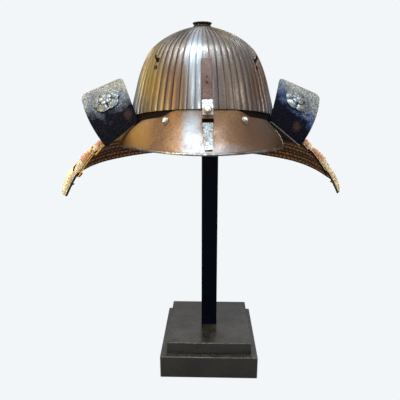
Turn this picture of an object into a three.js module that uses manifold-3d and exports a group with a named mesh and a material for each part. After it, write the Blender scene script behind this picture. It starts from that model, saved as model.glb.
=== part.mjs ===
// A samurai helmet (kabuto) with a ribbed iron bowl, a peak, a flared neck guard of four laced lames and
// two turned-back plates, resting on a plain post stand. Millimetres, +Z up, the face looks along -Y.
// The origin is the middle of the stand's underside. The helmet has a frame of its own: its z = 0 is the
// height of the bowl's lower edge at the ears, and it sits slightly turned and off centre on its post.
import * as THREE from "three";
import { mergeVertices } from "three/addons/utils/BufferGeometryUtils.js";
import Module from "manifold-3d";

const manifold = await Module();
manifold.setup();

const rad = THREE.MathUtils.degToRad;
const gap = 0.35; // between touching pieces

// ---- driving dimensions ----

const pose = { height: 411, offset: -12.6, turn: 4.2 }; // the helmet on its stand

const bowl = {
  halfWidth: 106.8,
  halfLength: 120.5,
  wall: 2.5,
  edgeRise: 16, // the lower edge climbs this much from the ears to the brow
  plates: 62,
  ribHeight: 2,
  ribShare: 0.17, // half of a rib's foot, as a share of one plate
  holeRadius: 8.5,
};

// The bowl's side view: height above the ear edge, and reach as a share of the half width.
const bowlProfile = [
  { rise: -18, reach: 1.008 },
  { rise: 0, reach: 1 },
  { rise: 14, reach: 0.99 },
  { rise: 36, reach: 0.94 },
  { rise: 59, reach: 0.88 },
  { rise: 77, reach: 0.816 },
  { rise: 94, reach: 0.728 },
  { rise: 105, reach: 0.625 },
  { rise: 114, reach: 0.5 },
  { rise: 122, reach: 0.35 },
  { rise: 128.5, reach: 0.195 },
  { rise: 131.4, reach: 0.08 },
];

const ring = { foot: 12.6, top: 14.4, height: 5.2, petals: 20, notch: 1.5 };

// The waist band reaches up inside the bowl and down below its edge.
const band = { inside: 11, below: 20, wall: 2.2, clear: 1.7, step: 2.7 };

const peak = {
  wall: 2,
  bead: 1.5,
  columns: 36,
  rows: 5,
  endAngle: 62,
  rimFront: 158,
  rimDrop: 37.3,
  rimLeft: { reach: 124, back: 46, sink: 0 }, // the rim's left end, and how far it sinks below the middle
  rimRight: { reach: 114.5, back: 62, sink: 3 },
  rimSwing: 65,
  frontSag: 7, // the middle of the peak curves in towards the brow
  sideBulge: 11, // and its ends curve out
};

// The peak's upper edge: angle from the brow's middle, and depth below the bowl's edge.
const peakEdge = [
  { angle: 0, depth: 0.5 },
  { angle: 22, depth: 0.9 },
  { angle: 27, depth: 2.6 },
  { angle: 31, depth: 6.8 },
  { angle: 35, depth: 8.6 },
  { angle: 54, depth: 9.6 },
  { angle: 59, depth: 10.6 },
  { angle: 62, depth: 13.5 },
];

const strap = { width: 13.6, thick: 1.8, top: 76.5, bend: 26, end: { out: 133, rise: 8.5 }, standOff: 0.6 };
const slot = { width: 15.2, top: 4, bottom: -2, aside: 0.6 };
const socket = { topWidth: 15, endWidth: 10.2, topLift: 5.2, endLift: 1.9, wall: 1.2, length: 0.92 };
const rivet = { radius: 5, height: 3.8, left: -29, right: 27.5 }; // with their angles from the brow
const stud = { radius: 2.3, neck: 1.5, height: 6, rise: 79, angles: [40, 140, 220, 320] };

// The neck guard's rim: angle from the nape, and height.
const guardRim = [
  { angle: 0, height: -88.5 },
  { angle: 45, height: -93.5 },
  { angle: 66, height: -96.5 },
  { angle: 90, height: -111.5 },
  { angle: 114, height: -115 },
];

const guard = {
  halfWidth: 107,
  halfLength: 120.5,
  attach: 9, // below the bowl's edge
  frontAngle: 114,
  rimHalfWidth: 211.5,
  rimRear: 255,
  rimFront: 143,
  bulge: 12.5,
  frontBulge: 10,
  columns: 32,
  wall: 2,
  stepOut: 3,
};

// Lames, by share of the slope from the bowl to the rim at each one's top and bottom edge.
const lames = [
  { name: "neck_lame_1", top: 0, bottom: 0.365 },
  { name: "neck_lame_2", top: 0.325, bottom: 0.51 },
  { name: "neck_lame_3", top: 0.47, bottom: 0.785 },
  { name: "neck_lame_4", top: 0.745, bottom: 1 },
];

const lacing = { thick: 2.8, head: 0.022, hem: 0.012 };

// Corners of the left turned-back plate, mirrored for the right one.
const turnback = {
  innerLow: [-93.5, -62, -2],
  outerLow: [-139.8, -62, -38.4],
  outerHigh: [-185.5, 4, 33.7],
  innerHigh: [-123.2, 15, 60.9],
  wall: 2.2,
  bulge: 11,
  bow: 4.2, // its outer edge curves out, and its inner edge in
  innerBow: 1.2,
  columns: 7,
  rows: 6,
};

const crest = { radius: 20.5, dome: 5.6, petals: 5, dip: 0.16, across: 0.5, up: 0.63, clear: 0.9, sides: 40 };

const stand = {
  lower: { side: 157, height: 38, edge: 1.2 },
  upper: { side: 138, height: 19.5, edge: 1.2 },
  post: 26,
  restRadius: 42,
};

// ---- materials ----

const finish = (color, roughness, metalness) =>
  new THREE.MeshStandardMaterial({ color, roughness, metalness });
const russetIron = finish(0x6e5a4c, 0.4, 0.85);
const brownIron = finish(0x8a6038, 0.35, 0.8);
const blackIron = finish(0x1c1a17, 0.5, 0.7);
const silver = finish(0xb9bdbb, 0.3, 0.9);
const blackLacquer = finish(0x241510, 0.25, 0.1);
const darkLeather = finish(0x2a2f3c, 0.55, 0.1);
const goldSilk = finish(0xe2b566, 0.8, 0);
const standPaint = finish(0x1b1813, 0.3, 0.1);

// ---- mesh helpers ----

// A closed solid from rings or rows of points: triangles are added between them, then the mesh is merged.
class Faces {
  constructor() {
    this.points = [];
  }
  triangle(a, b, c) {
    this.points.push(a, b, c);
  }
  quad(a, b, c, d) {
    this.triangle(a, b, c);
    this.triangle(a, c, d);
  }
  geometry() {
    return new THREE.BufferGeometry().setFromPoints(this.points);
  }
}

// A wall from its outer and inner grids, both as rows of points; wrap joins the last column to the first.
function wall(outer, inner, wrap = false) {
  const faces = new Faces();
  const rows = outer.length - 1;
  const columns = outer[0].length;
  const last = wrap ? columns : columns - 1;
  for (let j = 0; j < last; j++) {
    const k = (j + 1) % columns;
    for (let i = 0; i < rows; i++) {
      faces.quad(outer[i][j], outer[i][k], outer[i + 1][k], outer[i + 1][j]);
      faces.quad(inner[i][j], inner[i + 1][j], inner[i + 1][k], inner[i][k]);
    }
    faces.quad(outer[0][j], inner[0][j], inner[0][k], outer[0][k]);
    faces.quad(outer[rows][j], outer[rows][k], inner[rows][k], inner[rows][j]);
  }
  if (!wrap) {
    for (let i = 0; i < rows; i++) {
      faces.quad(outer[i][0], outer[i + 1][0], inner[i + 1][0], inner[i][0]);
      faces.quad(outer[i][last], inner[i][last], inner[i + 1][last], outer[i + 1][last]);
    }
  }
  return faces.geometry();
}

function toManifold(geometry) {
  const bare = geometry.index ? geometry.toNonIndexed() : geometry.clone();
  bare.deleteAttribute("normal");
  bare.deleteAttribute("uv");
  const merged = mergeVertices(bare, 1e-3);
  const made = new manifold.Mesh({
    numProp: 3,
    vertProperties: new Float32Array(merged.attributes.position.array),
    triVerts: new Uint32Array(merged.index.array),
  });
  return new manifold.Manifold(made);
}

function fromManifold(solid) {
  const mesh = solid.getMesh();
  const geometry = new THREE.BufferGeometry();
  geometry.setAttribute("position", new THREE.BufferAttribute(new Float32Array(mesh.vertProperties), 3));
  geometry.setIndex(Array.from(mesh.triVerts));
  return geometry;
}

const cut = (geometry, ...tools) =>
  fromManifold(tools.reduce((solid, tool) => solid.subtract(toManifold(tool)), toManifold(geometry)));

// The same faces turned round, for a grid whose rows run the other way.
function flipped(geometry) {
  const position = geometry.attributes.position;
  const points = [];
  for (let i = 0; i < position.count; i += 3) {
    for (const k of [0, 2, 1]) points.push(new THREE.Vector3().fromBufferAttribute(position, i + k));
  }
  return new THREE.BufferGeometry().setFromPoints(points);
}

const mirrored = (geometry) => flipped(geometry.clone().scale(-1, 1, 1));

// A value read between the rows of a short table.
function fromTable(table, key, value, at) {
  let i = 1;
  while (i < table.length - 1 && table[i][key] < at) i++;
  const low = table[i - 1];
  const high = table[i];
  const share = THREE.MathUtils.clamp((at - low[key]) / (high[key] - low[key]), 0, 1);
  return THREE.MathUtils.lerp(low[value], high[value], share);
}

const range = (count) => Array.from({ length: count }, (_, i) => i);

function place(geometry, at, normal) {
  const turn = new THREE.Quaternion().setFromUnitVectors(new THREE.Vector3(0, 0, 1), normal);
  return geometry.applyQuaternion(turn).translate(at.x, at.y, at.z);
}

// ---- bowl ----

const profileCurve = new THREE.CatmullRomCurve3(
  bowlProfile.map(({ rise, reach }) => new THREE.Vector3(reach, rise / bowl.halfWidth, 0)),
  false,
  "centripetal",
);
profileCurve.arcLengthDivisions = 400;

const plateAngle = (2 * Math.PI) / bowl.plates;

const edgeHeight = (turn) => -bowl.edgeRise * Math.sin(turn);

// How far along the profile a given height lies, from 0 at its foot to 1 at the crown hole.
function alongProfile(rise) {
  let low = 0;
  let high = 1;
  for (let i = 0; i < 30; i++) {
    const middle = (low + high) / 2;
    if (profileCurve.getPointAt(middle).y * bowl.halfWidth < rise) low = middle;
    else high = middle;
  }
  return low;
}

// Outward direction of the bowl's plan at an angle.
function planNormal(turn) {
  return new THREE.Vector3(Math.cos(turn) / bowl.halfWidth, Math.sin(turn) / bowl.halfLength, 0).normalize();
}

// A point of the bowl's plates, lifted off them by some millimetres; turn -90 degrees is the brow.
function bowlPoint(turn, along, lift = 0) {
  const at = profileCurve.getPointAt(along);
  const tangent = profileCurve.getTangentAt(along);
  const out = planNormal(turn);
  return new THREE.Vector3(
    bowl.halfWidth * at.x * Math.cos(turn) + lift * tangent.y * out.x,
    bowl.halfLength * at.x * Math.sin(turn) + lift * tangent.y * out.y,
    bowl.halfWidth * at.y - lift * tangent.x,
  );
}

function bowlNormal(turn, along) {
  return bowlPoint(turn, along, 1).sub(bowlPoint(turn, along, 0)).normalize();
}

// Joins two closed rings of different counts, walking round both at once.
function bridge(faces, first, second) {
  let i = 0;
  let j = 0;
  while (i < first.length || j < second.length) {
    const a = first[i % first.length];
    const b = second[j % second.length];
    if (j >= second.length || (i < first.length && (i + 1) / first.length <= (j + 1) / second.length)) {
      faces.triangle(a, first[(i + 1) % first.length], b);
      i++;
    } else {
      faces.triangle(a, second[(j + 1) % second.length], b);
      j++;
    }
  }
}

// Rings up the bowl; each plate gives three points outside, its rib's crest and both feet, and one inside.
function ribbedBowl() {
  const faces = new Faces();
  const outerShares = [0, 0.2, 0.4, 0.56, 0.68, 0.78, 0.87, 0.94, 1];
  const innerShares = [0, 0.25, 0.5, 0.68, 0.84, 1];
  const ringAt = (share, lifts) =>
    range(bowl.plates).flatMap((plate) =>
      lifts.map(({ shift, lift }) => {
        const turn = (plate + shift) * plateAngle;
        const start = alongProfile(edgeHeight(turn));
        return bowlPoint(turn, start + (1 - start) * share, lift);
      }),
    );
  const outside = outerShares.map((share) => {
    const fade = THREE.MathUtils.smoothstep(1 - share, 0.07, 0.3);
    return ringAt(share, [
      { shift: -bowl.ribShare, lift: 0 },
      { shift: 0, lift: bowl.ribHeight * fade },
      { shift: bowl.ribShare, lift: 0 },
    ]);
  });
  const inside = innerShares.map((share) => ringAt(share, [{ shift: 0, lift: -bowl.wall }]));
  const strip = (rings, outward) => {
    for (let i = 0; i + 1 < rings.length; i++) {
      const low = rings[i];
      const high = rings[i + 1];
      for (let j = 0; j < low.length; j++) {
        const k = (j + 1) % low.length;
        if (outward) faces.quad(low[j], low[k], high[k], high[j]);
        else faces.quad(low[j], high[j], high[k], low[k]);
      }
    }
  };
  strip(outside, true);
  strip(inside, false);
  bridge(faces, inside[0], outside[0]);
  bridge(faces, outside.at(-1), inside.at(-1));
  return faces.geometry();
}

// The crown ring: a small flared cup whose rim is notched into petals.
function crownRing() {
  const steps = ring.petals * 2;
  const crownTop = bowlProfile.at(-1).rise;
  const section = (petal) => [
    { radius: bowl.holeRadius + 0.4, height: 0 },
    { radius: ring.foot, height: -1.2 },
    { radius: ring.foot + 0.4, height: 1.4 },
    { radius: ring.foot - 0.8, height: 2.4 },
    { radius: ring.top, height: ring.height - (petal ? 0 : ring.notch) },
    { radius: ring.top - 1.6, height: ring.height - (petal ? 0.4 : ring.notch) },
    { radius: bowl.holeRadius + 0.4, height: 2.4 },
  ];
  const faces = new Faces();
  const columns = range(steps).map((i) => {
    const turn = (i / steps) * 2 * Math.PI;
    return section(i % 2).map(
      ({ radius, height }) =>
        new THREE.Vector3(radius * Math.cos(turn), radius * Math.sin(turn), crownTop + 0.9 + height),
    );
  });
  columns.forEach((column, i) => {
    const next = columns[(i + 1) % steps];
    column.forEach((_, j) => {
      const k = (j + 1) % column.length;
      faces.quad(column[j], next[j], next[k], column[k]);
    });
  });
  return faces.geometry();
}

// ---- waist band, under the bowl's edge ----

function bandPoint(turn, height, lift) {
  const along = alongProfile(THREE.MathUtils.clamp(edgeHeight(turn) + Math.max(height, 0), -17.9, 60));
  const at = bowlPoint(turn, along, lift - bowl.wall - band.clear);
  at.z = edgeHeight(turn) + height;
  return at;
}

// Below the bowl the band steps out a little, except behind the peak.
function bandStep(turn, height) {
  const fromNape = THREE.MathUtils.radToDeg(Math.acos(Math.sin(turn)));
  return height < -1 ? band.step * (1 - THREE.MathUtils.smoothstep(fromNape, 106, 112)) : 0;
}

function waistBand() {
  const heights = [-band.below, -2, -0.8, band.inside];
  const turns = range(bowl.plates).map((plate) => plate * plateAngle);
  const grid = (lift) =>
    heights.map((height) => turns.map((turn) => bandPoint(turn, height, lift + bandStep(turn, height))));
  return wall(grid(0), grid(-band.wall), true);
}

// ---- peak ----

// A point of the peak's upper face: across -1 to 1 from side to side, down 0 at the band to 1 at the rim.
function peakPoint(across, down, lift = 0) {
  const angle = Math.abs(across) * peak.endAngle;
  const turn = rad(angle) * Math.sign(across) - Math.PI / 2;
  const top = bandPoint(turn, -fromTable(peakEdge, "angle", "depth", angle), gap + peak.wall + 0.6);
  const swing = Math.abs(across) * Math.PI * 0.5;
  const end = across < 0 ? peak.rimLeft : peak.rimRight;
  const aside = Math.sin(rad(Math.abs(across) * peak.rimSwing)) / Math.sin(rad(peak.rimSwing));
  const rim = new THREE.Vector3(
    Math.sign(across) * end.reach * aside,
    -end.back - (peak.rimFront - end.back) * (1 - aside ** 1.9),
    -peak.rimDrop - end.sink * aside * aside,
  );
  const swell = peak.sideBulge * Math.sin(swing) ** 4 - peak.frontSag * Math.cos(swing);
  const drape = top.clone().lerp(rim, 0.5).addScaledVector(planNormal(turn), swell);
  const curve = new THREE.QuadraticBezierCurve3(top, drape, rim);
  const at = curve.getPoint(down);
  if (!lift) return at;
  const step = 0.02;
  const side = peakPoint(THREE.MathUtils.clamp(across + step, -1, 1), down);
  side.sub(peakPoint(THREE.MathUtils.clamp(across - step, -1, 1), down));
  return at.addScaledVector(side.cross(curve.getTangent(down)).negate().normalize(), lift);
}

function peakPlate() {
  const grid = (lift, beadLift) =>
    range(peak.rows + 2).map((row) => {
      const isBead = row > peak.rows - 1;
      const down = row > peak.rows ? 1 : (row / peak.rows) * 0.955;
      return range(peak.columns + 1).map((column) =>
        peakPoint((column / peak.columns) * 2 - 1, down, isBead ? beadLift : lift),
      );
    });
  const plate = flipped(wall(grid(0.01, peak.bead - peak.wall / 2), grid(-peak.wall, -peak.wall)));
  const hole = new THREE.BoxGeometry(slot.width, 30, slot.top - slot.bottom);
  hole.translate(slot.aside, -bowl.halfLength - 5, (slot.top + slot.bottom) / 2);
  return cut(plate, hole);
}

// ---- front strap and crest socket ----

const browTurn = -Math.PI / 2;

// The strap's side view: out from the helmet's middle and height, from its upper end down to the slot.
const strapRoute = [0, 1, 2, 3].map((i) => {
  const height = THREE.MathUtils.lerp(strap.top, strap.bend, i / 3);
  const at = bowlPoint(browTurn, alongProfile(height), strap.standOff + bowl.ribHeight);
  return new THREE.Vector3(0, at.y, at.z);
});
strapRoute.push(
  new THREE.Vector3(0, -strap.end.out + 5, strap.end.rise + 9),
  new THREE.Vector3(0, -strap.end.out, strap.end.rise),
);

function frontStrap() {
  const curve = new THREE.CatmullRomCurve3(strapRoute);
  const steps = 12;
  const grid = (lift) =>
    range(steps + 1).map((i) => {
      const at = curve.getPointAt(i / steps);
      const tangent = curve.getTangentAt(i / steps);
      const out = new THREE.Vector3(0, tangent.z, -tangent.y);
      return [-1, 1].map((side) => at.clone().addScaledVector(out, lift).setX((side * strap.width) / 2));
    });
  const holes = [55.5, 48.5].map((height) =>
    new THREE.CylinderGeometry(1.2, 1.2, 40, 10).translate(0, -bowl.halfLength * 0.85, height),
  );
  return cut(flipped(wall(grid(strap.thick), grid(0))), ...holes);
}

// A tapered channel on the peak, open at its upper end for a crest's tang.
function crestSocket() {
  const rows = 5;
  const start = 0.36;
  const grid = (shrink) =>
    range(rows + 1).map((i) => {
      const share = i / rows;
      const down = THREE.MathUtils.lerp(start, socket.length, share);
      const half = THREE.MathUtils.lerp(socket.topWidth, socket.endWidth, share) / 2 - shrink;
      const top = THREE.MathUtils.lerp(socket.topLift, socket.endLift, share) - shrink;
      return [
        { x: -half, lift: 0.8 },
        { x: -half, lift: top },
        { x: half, lift: top },
        { x: half, lift: 0.8 },
      ].map(({ x, lift }) => peakPoint(0.0001, down, lift).setX(x));
    });
  return flipped(wall(grid(0), grid(socket.wall)));
}

// ---- rivets and studs ----

function dome(radius, height) {
  const side = [0, 0.38, 0.72, 1].map(
    (share) => new THREE.Vector2(radius * Math.cos((share * Math.PI) / 2), height * share),
  );
  return new THREE.LatheGeometry([new THREE.Vector2(0, 0), ...side], 12).rotateX(Math.PI / 2);
}

function strapRivet() {
  const curve = new THREE.CatmullRomCurve3(strapRoute);
  const at = curve.getPointAt(0.915);
  const tangent = curve.getTangentAt(0.915);
  const out = new THREE.Vector3(0, tangent.z, -tangent.y).normalize();
  return place(dome(rivet.radius * 1.08, rivet.height), at.addScaledVector(out, strap.thick + gap), out);
}

function peakRivet(angle) {
  const across = angle / peak.endAngle;
  const at = peakPoint(across, 0.2, 0.01);
  const out = peakPoint(across, 0.2, 1).sub(at).normalize();
  return place(dome(rivet.radius, rivet.height), at.addScaledVector(out, 2 * gap), out);
}

// A small waisted stud standing on the bowl between two ribs.
function bowlStud(angle) {
  const turn = (Math.round(rad(angle) / plateAngle) + 0.5) * plateAngle;
  const along = alongProfile(stud.rise);
  const shape = [
    [0, 0],
    [stud.neck, 0],
    [stud.neck, stud.height * 0.5],
    [stud.radius, stud.height * 0.66],
    [stud.radius * 0.7, stud.height * 0.93],
    [0, stud.height],
  ].map(([x, y]) => new THREE.Vector2(x, y));
  const geometry = new THREE.LatheGeometry(shape, 8).rotateX(Math.PI / 2);
  return place(geometry, bowlPoint(turn, along, gap), bowlNormal(turn, along));
}

// ---- neck guard ----

// A point of the neck guard: angle from the nape, share of the slope, and lift off its surface.
function guardPoint(angle, share, lift) {
  const turn = rad(angle) + Math.PI / 2;
  const from = Math.abs(angle);
  const reach = from < 90 ? guard.rimRear : guard.rimFront;
  const top = new THREE.Vector3(guard.halfWidth * Math.cos(turn), guard.halfLength * Math.sin(turn));
  top.z = edgeHeight(turn) - guard.attach;
  const rim = new THREE.Vector3(guard.rimHalfWidth * Math.cos(turn), reach * Math.sin(turn));
  rim.z = fromTable(guardRim, "angle", "height", from);
  const chord = rim.clone().sub(top);
  const drop = -chord.z;
  const level = Math.hypot(chord.x, chord.y);
  const out = new THREE.Vector3(chord.x * drop, chord.y * drop, level * level).normalize();
  const front = THREE.MathUtils.smoothstep(from, 80, guard.frontAngle);
  const bulge = THREE.MathUtils.lerp(guard.bulge, guard.frontBulge, front);
  const arch = 4 * bulge * share * (1 - share);
  const lean = (4 * bulge * (1 - 2 * share)) / chord.length();
  const normal = out.clone().addScaledVector(chord.normalize(), -lean).normalize();
  return top.addScaledVector(rim.sub(top), share).addScaledVector(out, arch).addScaledVector(normal, lift);
}

// A strip of the guard between two shares of the slope, as thick as given, at a lift off the guard's surface.
function guardStrip(top, bottom, lift, thick, rows = 2) {
  const grid = (raise) =>
    range(rows + 1).map((i) =>
      range(guard.columns + 1).map((j) =>
        guardPoint(
          THREE.MathUtils.lerp(-guard.frontAngle, guard.frontAngle, j / guard.columns),
          THREE.MathUtils.lerp(bottom, top, i / rows),
          raise,
        ),
      ),
    );
  return wall(grid(lift + thick), grid(lift));
}

const lameStrip = (index) =>
  guardStrip(lames[index].top, lames[index].bottom, index * guard.stepOut, guard.wall, index ? 2 : 3);

function lacingStrip(index) {
  const next = lames[index + 1];
  const bottom = next ? next.top - lacing.hem : lames[index].bottom - lacing.hem;
  const lift = index * guard.stepOut + guard.wall + 2 * gap;
  return guardStrip(lames[index].top + lacing.head, bottom, lift, lacing.thick);
}

// ---- turned-back plates and their flower crests ----

const corner = (name) => new THREE.Vector3(...turnback[name]);

// A point of the left plate: across 0 at the bowl side to 1 outside, up 0 at the fold to 1 at the top edge.
function platePoint(across, up, lift = 0) {
  const low = corner("innerLow").lerp(corner("outerLow"), across);
  const high = corner("innerHigh").lerp(corner("outerHigh"), across);
  const forward = new THREE.Vector3(-0.25, -0.9, 0.35);
  const middle = low.clone().lerp(high, 0.5).addScaledVector(forward, turnback.bulge);
  const curve = new THREE.QuadraticBezierCurve3(low, middle, high);
  const foot = corner("outerLow").sub(corner("innerLow"));
  const side = foot.lerp(corner("outerHigh").sub(corner("innerHigh")), up);
  const outward = side.clone().normalize();
  const sway = turnback.bow * across ** 2 - turnback.innerBow * (1 - across) ** 2;
  const at = curve.getPoint(up).addScaledVector(outward, 4 * up * (1 - up) * sway);
  return at.addScaledVector(curve.getTangent(up).cross(side).normalize(), lift);
}

function turnbackPlate() {
  const grid = (lift) =>
    range(turnback.rows + 1).map((row) =>
      range(turnback.columns + 1).map((column) => {
        const across = column / turnback.columns;
        const inner = 0.1 * (1 - Math.min(across / 0.18, 1)) ** 2;
        const outer = 0.04 * Math.max((across - 0.9) / 0.1, 0) ** 2;
        return platePoint(across, (row / turnback.rows) * (1 - inner - outer), lift);
      }),
    );
  return flipped(wall(grid(turnback.wall / 2), grid(-turnback.wall / 2)));
}

// A five-petalled flower boss: rings from its rim to its middle, raised into petals, with a flat back.
function flowerCrest() {
  const rings = [
    { share: 1, height: 0 },
    { share: 1, height: 0.45 },
    { share: 0.8, height: 0.86 },
    { share: 0.55, height: 0.76 },
    { share: 0.48, height: 1.06 },
    { share: 0.22, height: 1 },
    { share: 0.17, height: 1.3 },
  ];
  const faces = new Faces();
  const column = (i) => {
    const turn = (i / crest.sides) * 2 * Math.PI;
    const petal = Math.abs(Math.sin((turn * crest.petals) / 2));
    return rings.map(({ share, height }) => {
      const radius = crest.radius * share * (share > 0.3 ? 1 - crest.dip * (1 - petal) ** 1.6 : 1);
      return new THREE.Vector3(radius * Math.sin(turn), -radius * Math.cos(turn), height * crest.dome);
    });
  };
  const back = new THREE.Vector3(0, 0, 0);
  const front = new THREE.Vector3(0, 0, rings.at(-1).height * crest.dome + 0.6);
  for (let i = 0; i < crest.sides; i++) {
    const here = column(i);
    const next = column((i + 1) % crest.sides);
    faces.triangle(back, next[0], here[0]);
    for (let j = 0; j + 1 < rings.length; j++) faces.quad(here[j], next[j], next[j + 1], here[j + 1]);
    faces.triangle(here.at(-1), next.at(-1), front);
  }
  return faces.geometry();
}

function leftCrest() {
  const { across, up: high } = crest;
  const at = platePoint(across, high, turnback.wall / 2 + crest.clear);
  const side = platePoint(across - 0.05, high).sub(platePoint(across + 0.05, high)).normalize();
  const up = platePoint(across, high + 0.05).sub(platePoint(across, high - 0.05)).normalize();
  const out = new THREE.Vector3().crossVectors(side, up).normalize();
  up.crossVectors(out, side);
  return flowerCrest().applyMatrix4(new THREE.Matrix4().makeBasis(side, up, out).setPosition(at));
}

// ---- stand ----

// A square block with softened edges, its underside at a height.
function plinth({ side, height, edge }, bottom) {
  const half = side / 2 - edge;
  const shape = new THREE.Shape([
    new THREE.Vector2(-half, -half),
    new THREE.Vector2(half, -half),
    new THREE.Vector2(half, half),
    new THREE.Vector2(-half, half),
  ]);
  const settings = { depth: height - 2 * edge, bevelThickness: edge, bevelSize: edge, bevelSegments: 2 };
  return new THREE.ExtrudeGeometry(shape, settings).translate(0, 0, bottom + edge);
}

// Height of the bowl's inner face over a point of the stand's frame.
function ceilingAt(x, y) {
  const turn = rad(pose.turn);
  const away = x - pose.offset;
  const aside = away * Math.cos(turn) + y * Math.sin(turn);
  const back = y * Math.cos(turn) - away * Math.sin(turn);
  const reach = Math.hypot(aside / bowl.halfWidth, back / bowl.halfLength);
  const flat = bowlProfile.map(({ rise, reach: share }) => ({ rise, inverse: -share }));
  return pose.height + fromTable(flat, "inverse", "rise", -Math.max(reach, bowlProfile.at(-1).reach));
}

// The block on the post's top, shaped to the inside of the bowl's crown.
function helmetRest() {
  const sides = 24;
  const shares = [0, 0.35, 0.7, 1];
  const clearance = bowl.wall + 2.4;
  const faces = new Faces();
  const foot = pose.height + 92;
  const point = (share, i, top) => {
    const turn = (i / sides) * 2 * Math.PI;
    const x = stand.restRadius * share * Math.cos(turn);
    const y = stand.restRadius * share * Math.sin(turn);
    return new THREE.Vector3(x, y, top ? ceilingAt(x, y) - clearance : foot);
  };
  const middle = point(0, 0, true);
  const under = point(0, 0, false);
  for (let i = 0; i < sides; i++) {
    faces.triangle(middle, point(shares[1], i, true), point(shares[1], i + 1, true));
    for (let j = 1; j + 1 < shares.length; j++) {
      const inner = shares[j];
      const outer = shares[j + 1];
      faces.quad(
        point(inner, i, true),
        point(outer, i, true),
        point(outer, i + 1, true),
        point(inner, i + 1, true),
      );
    }
    faces.quad(point(1, i, true), point(1, i, false), point(1, i + 1, false), point(1, i + 1, true));
    faces.triangle(under, point(1, i + 1, false), point(1, i, false));
  }
  return faces.geometry();
}

function standPost() {
  const foot = stand.lower.height + stand.upper.height + 2 * gap;
  const top = pose.height + 92 - gap;
  return new THREE.BoxGeometry(stand.post, stand.post, top - foot).translate(0, 0, (top + foot) / 2);
}

// ---- assembly ----

function named(name, geometry, material) {
  const mesh = new THREE.Mesh(geometry, material);
  mesh.name = name;
  return mesh;
}

const helmet = new THREE.Group();
helmet.position.set(pose.offset, 0, pose.height);
helmet.rotation.z = rad(pose.turn);
helmet.add(
  named("ribbed_bowl", ribbedBowl(), russetIron),
  named("crown_ring", crownRing(), blackIron),
  named("waist_band", waistBand(), blackIron),
  named("peak", peakPlate(), brownIron),
  named("front_strap", frontStrap(), brownIron),
  named("crest_socket", crestSocket(), silver),
  named("rivet_middle", strapRivet(), silver),
  named("rivet_right", peakRivet(rivet.right), silver),
  named("rivet_left", peakRivet(rivet.left), silver),
);
stud.angles.forEach((angle, i) => helmet.add(named("bowl_stud_" + (i + 1), bowlStud(angle), blackIron)));
lames.forEach(({ name }, i) => {
  helmet.add(named(name, lameStrip(i), blackLacquer));
  helmet.add(named("lacing_" + (i + 1), lacingStrip(i), goldSilk));
});
helmet.add(
  named("turnback_left", turnbackPlate(), darkLeather),
  named("turnback_right", mirrored(turnbackPlate()), darkLeather),
  named("flower_crest_left", leftCrest(), silver),
  named("flower_crest_right", mirrored(leftCrest()), silver),
);

const display = new THREE.Group();
display.add(
  named("plinth_lower", plinth(stand.lower, 0), standPaint),
  named("plinth_upper", plinth(stand.upper, stand.lower.height + gap), standPaint),
  named("stand_post", standPost(), standPaint),
  named("helmet_rest", helmetRest(), standPaint),
);

const root = new THREE.Group();
root.add(display, helmet);

export default root;
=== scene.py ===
import math
import random
import bpy
import bmesh
from mathutils import Matrix, Vector


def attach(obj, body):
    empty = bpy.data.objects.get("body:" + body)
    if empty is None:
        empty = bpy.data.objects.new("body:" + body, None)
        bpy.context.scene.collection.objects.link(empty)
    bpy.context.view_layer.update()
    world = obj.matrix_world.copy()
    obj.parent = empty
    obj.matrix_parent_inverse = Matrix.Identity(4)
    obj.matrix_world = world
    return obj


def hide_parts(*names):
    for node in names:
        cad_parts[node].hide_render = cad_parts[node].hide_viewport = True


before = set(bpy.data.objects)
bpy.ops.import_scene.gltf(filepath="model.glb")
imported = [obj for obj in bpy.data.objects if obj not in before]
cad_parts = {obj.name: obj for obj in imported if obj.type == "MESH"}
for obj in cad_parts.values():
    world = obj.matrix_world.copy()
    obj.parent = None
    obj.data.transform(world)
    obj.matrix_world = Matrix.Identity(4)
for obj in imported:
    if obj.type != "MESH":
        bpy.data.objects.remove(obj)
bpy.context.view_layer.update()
print("frame loaded:", len(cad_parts), "nodes")

scene = bpy.context.scene
scene.view_settings.view_transform = "Standard"
dice = random.Random(11)

# the helmet has its own frame, in millimetres: z = 0 is the bowl's lower edge at the ears, -Y is its face
helmetPose = {"height": 411, "offset": -12.6, "turn": 4.2}
millimetres = Matrix.Scale(0.001, 4)
helmetPlace = (
    Matrix.Translation((helmetPose["offset"] / 1000, 0, helmetPose["height"] / 1000))
    @ Matrix.Rotation(math.radians(helmetPose["turn"]), 4, "Z")
    @ millimetres
)


# small helpers


def mix(a, b, share):
    return a + (b - a) * share


def smoothStep(value, low, high):
    share = min(max((value - low) / (high - low), 0.0), 1.0)
    return share * share * (3 - 2 * share)


def fromTable(rows, at):
    # a value read between the rows of a short table of (key, value)
    for low, high in zip(rows, rows[1:]):
        if at <= high[0]:
            return mix(low[1], high[1], max(at - low[0], 0) / (high[0] - low[0]))
    return rows[-1][1]


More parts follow.
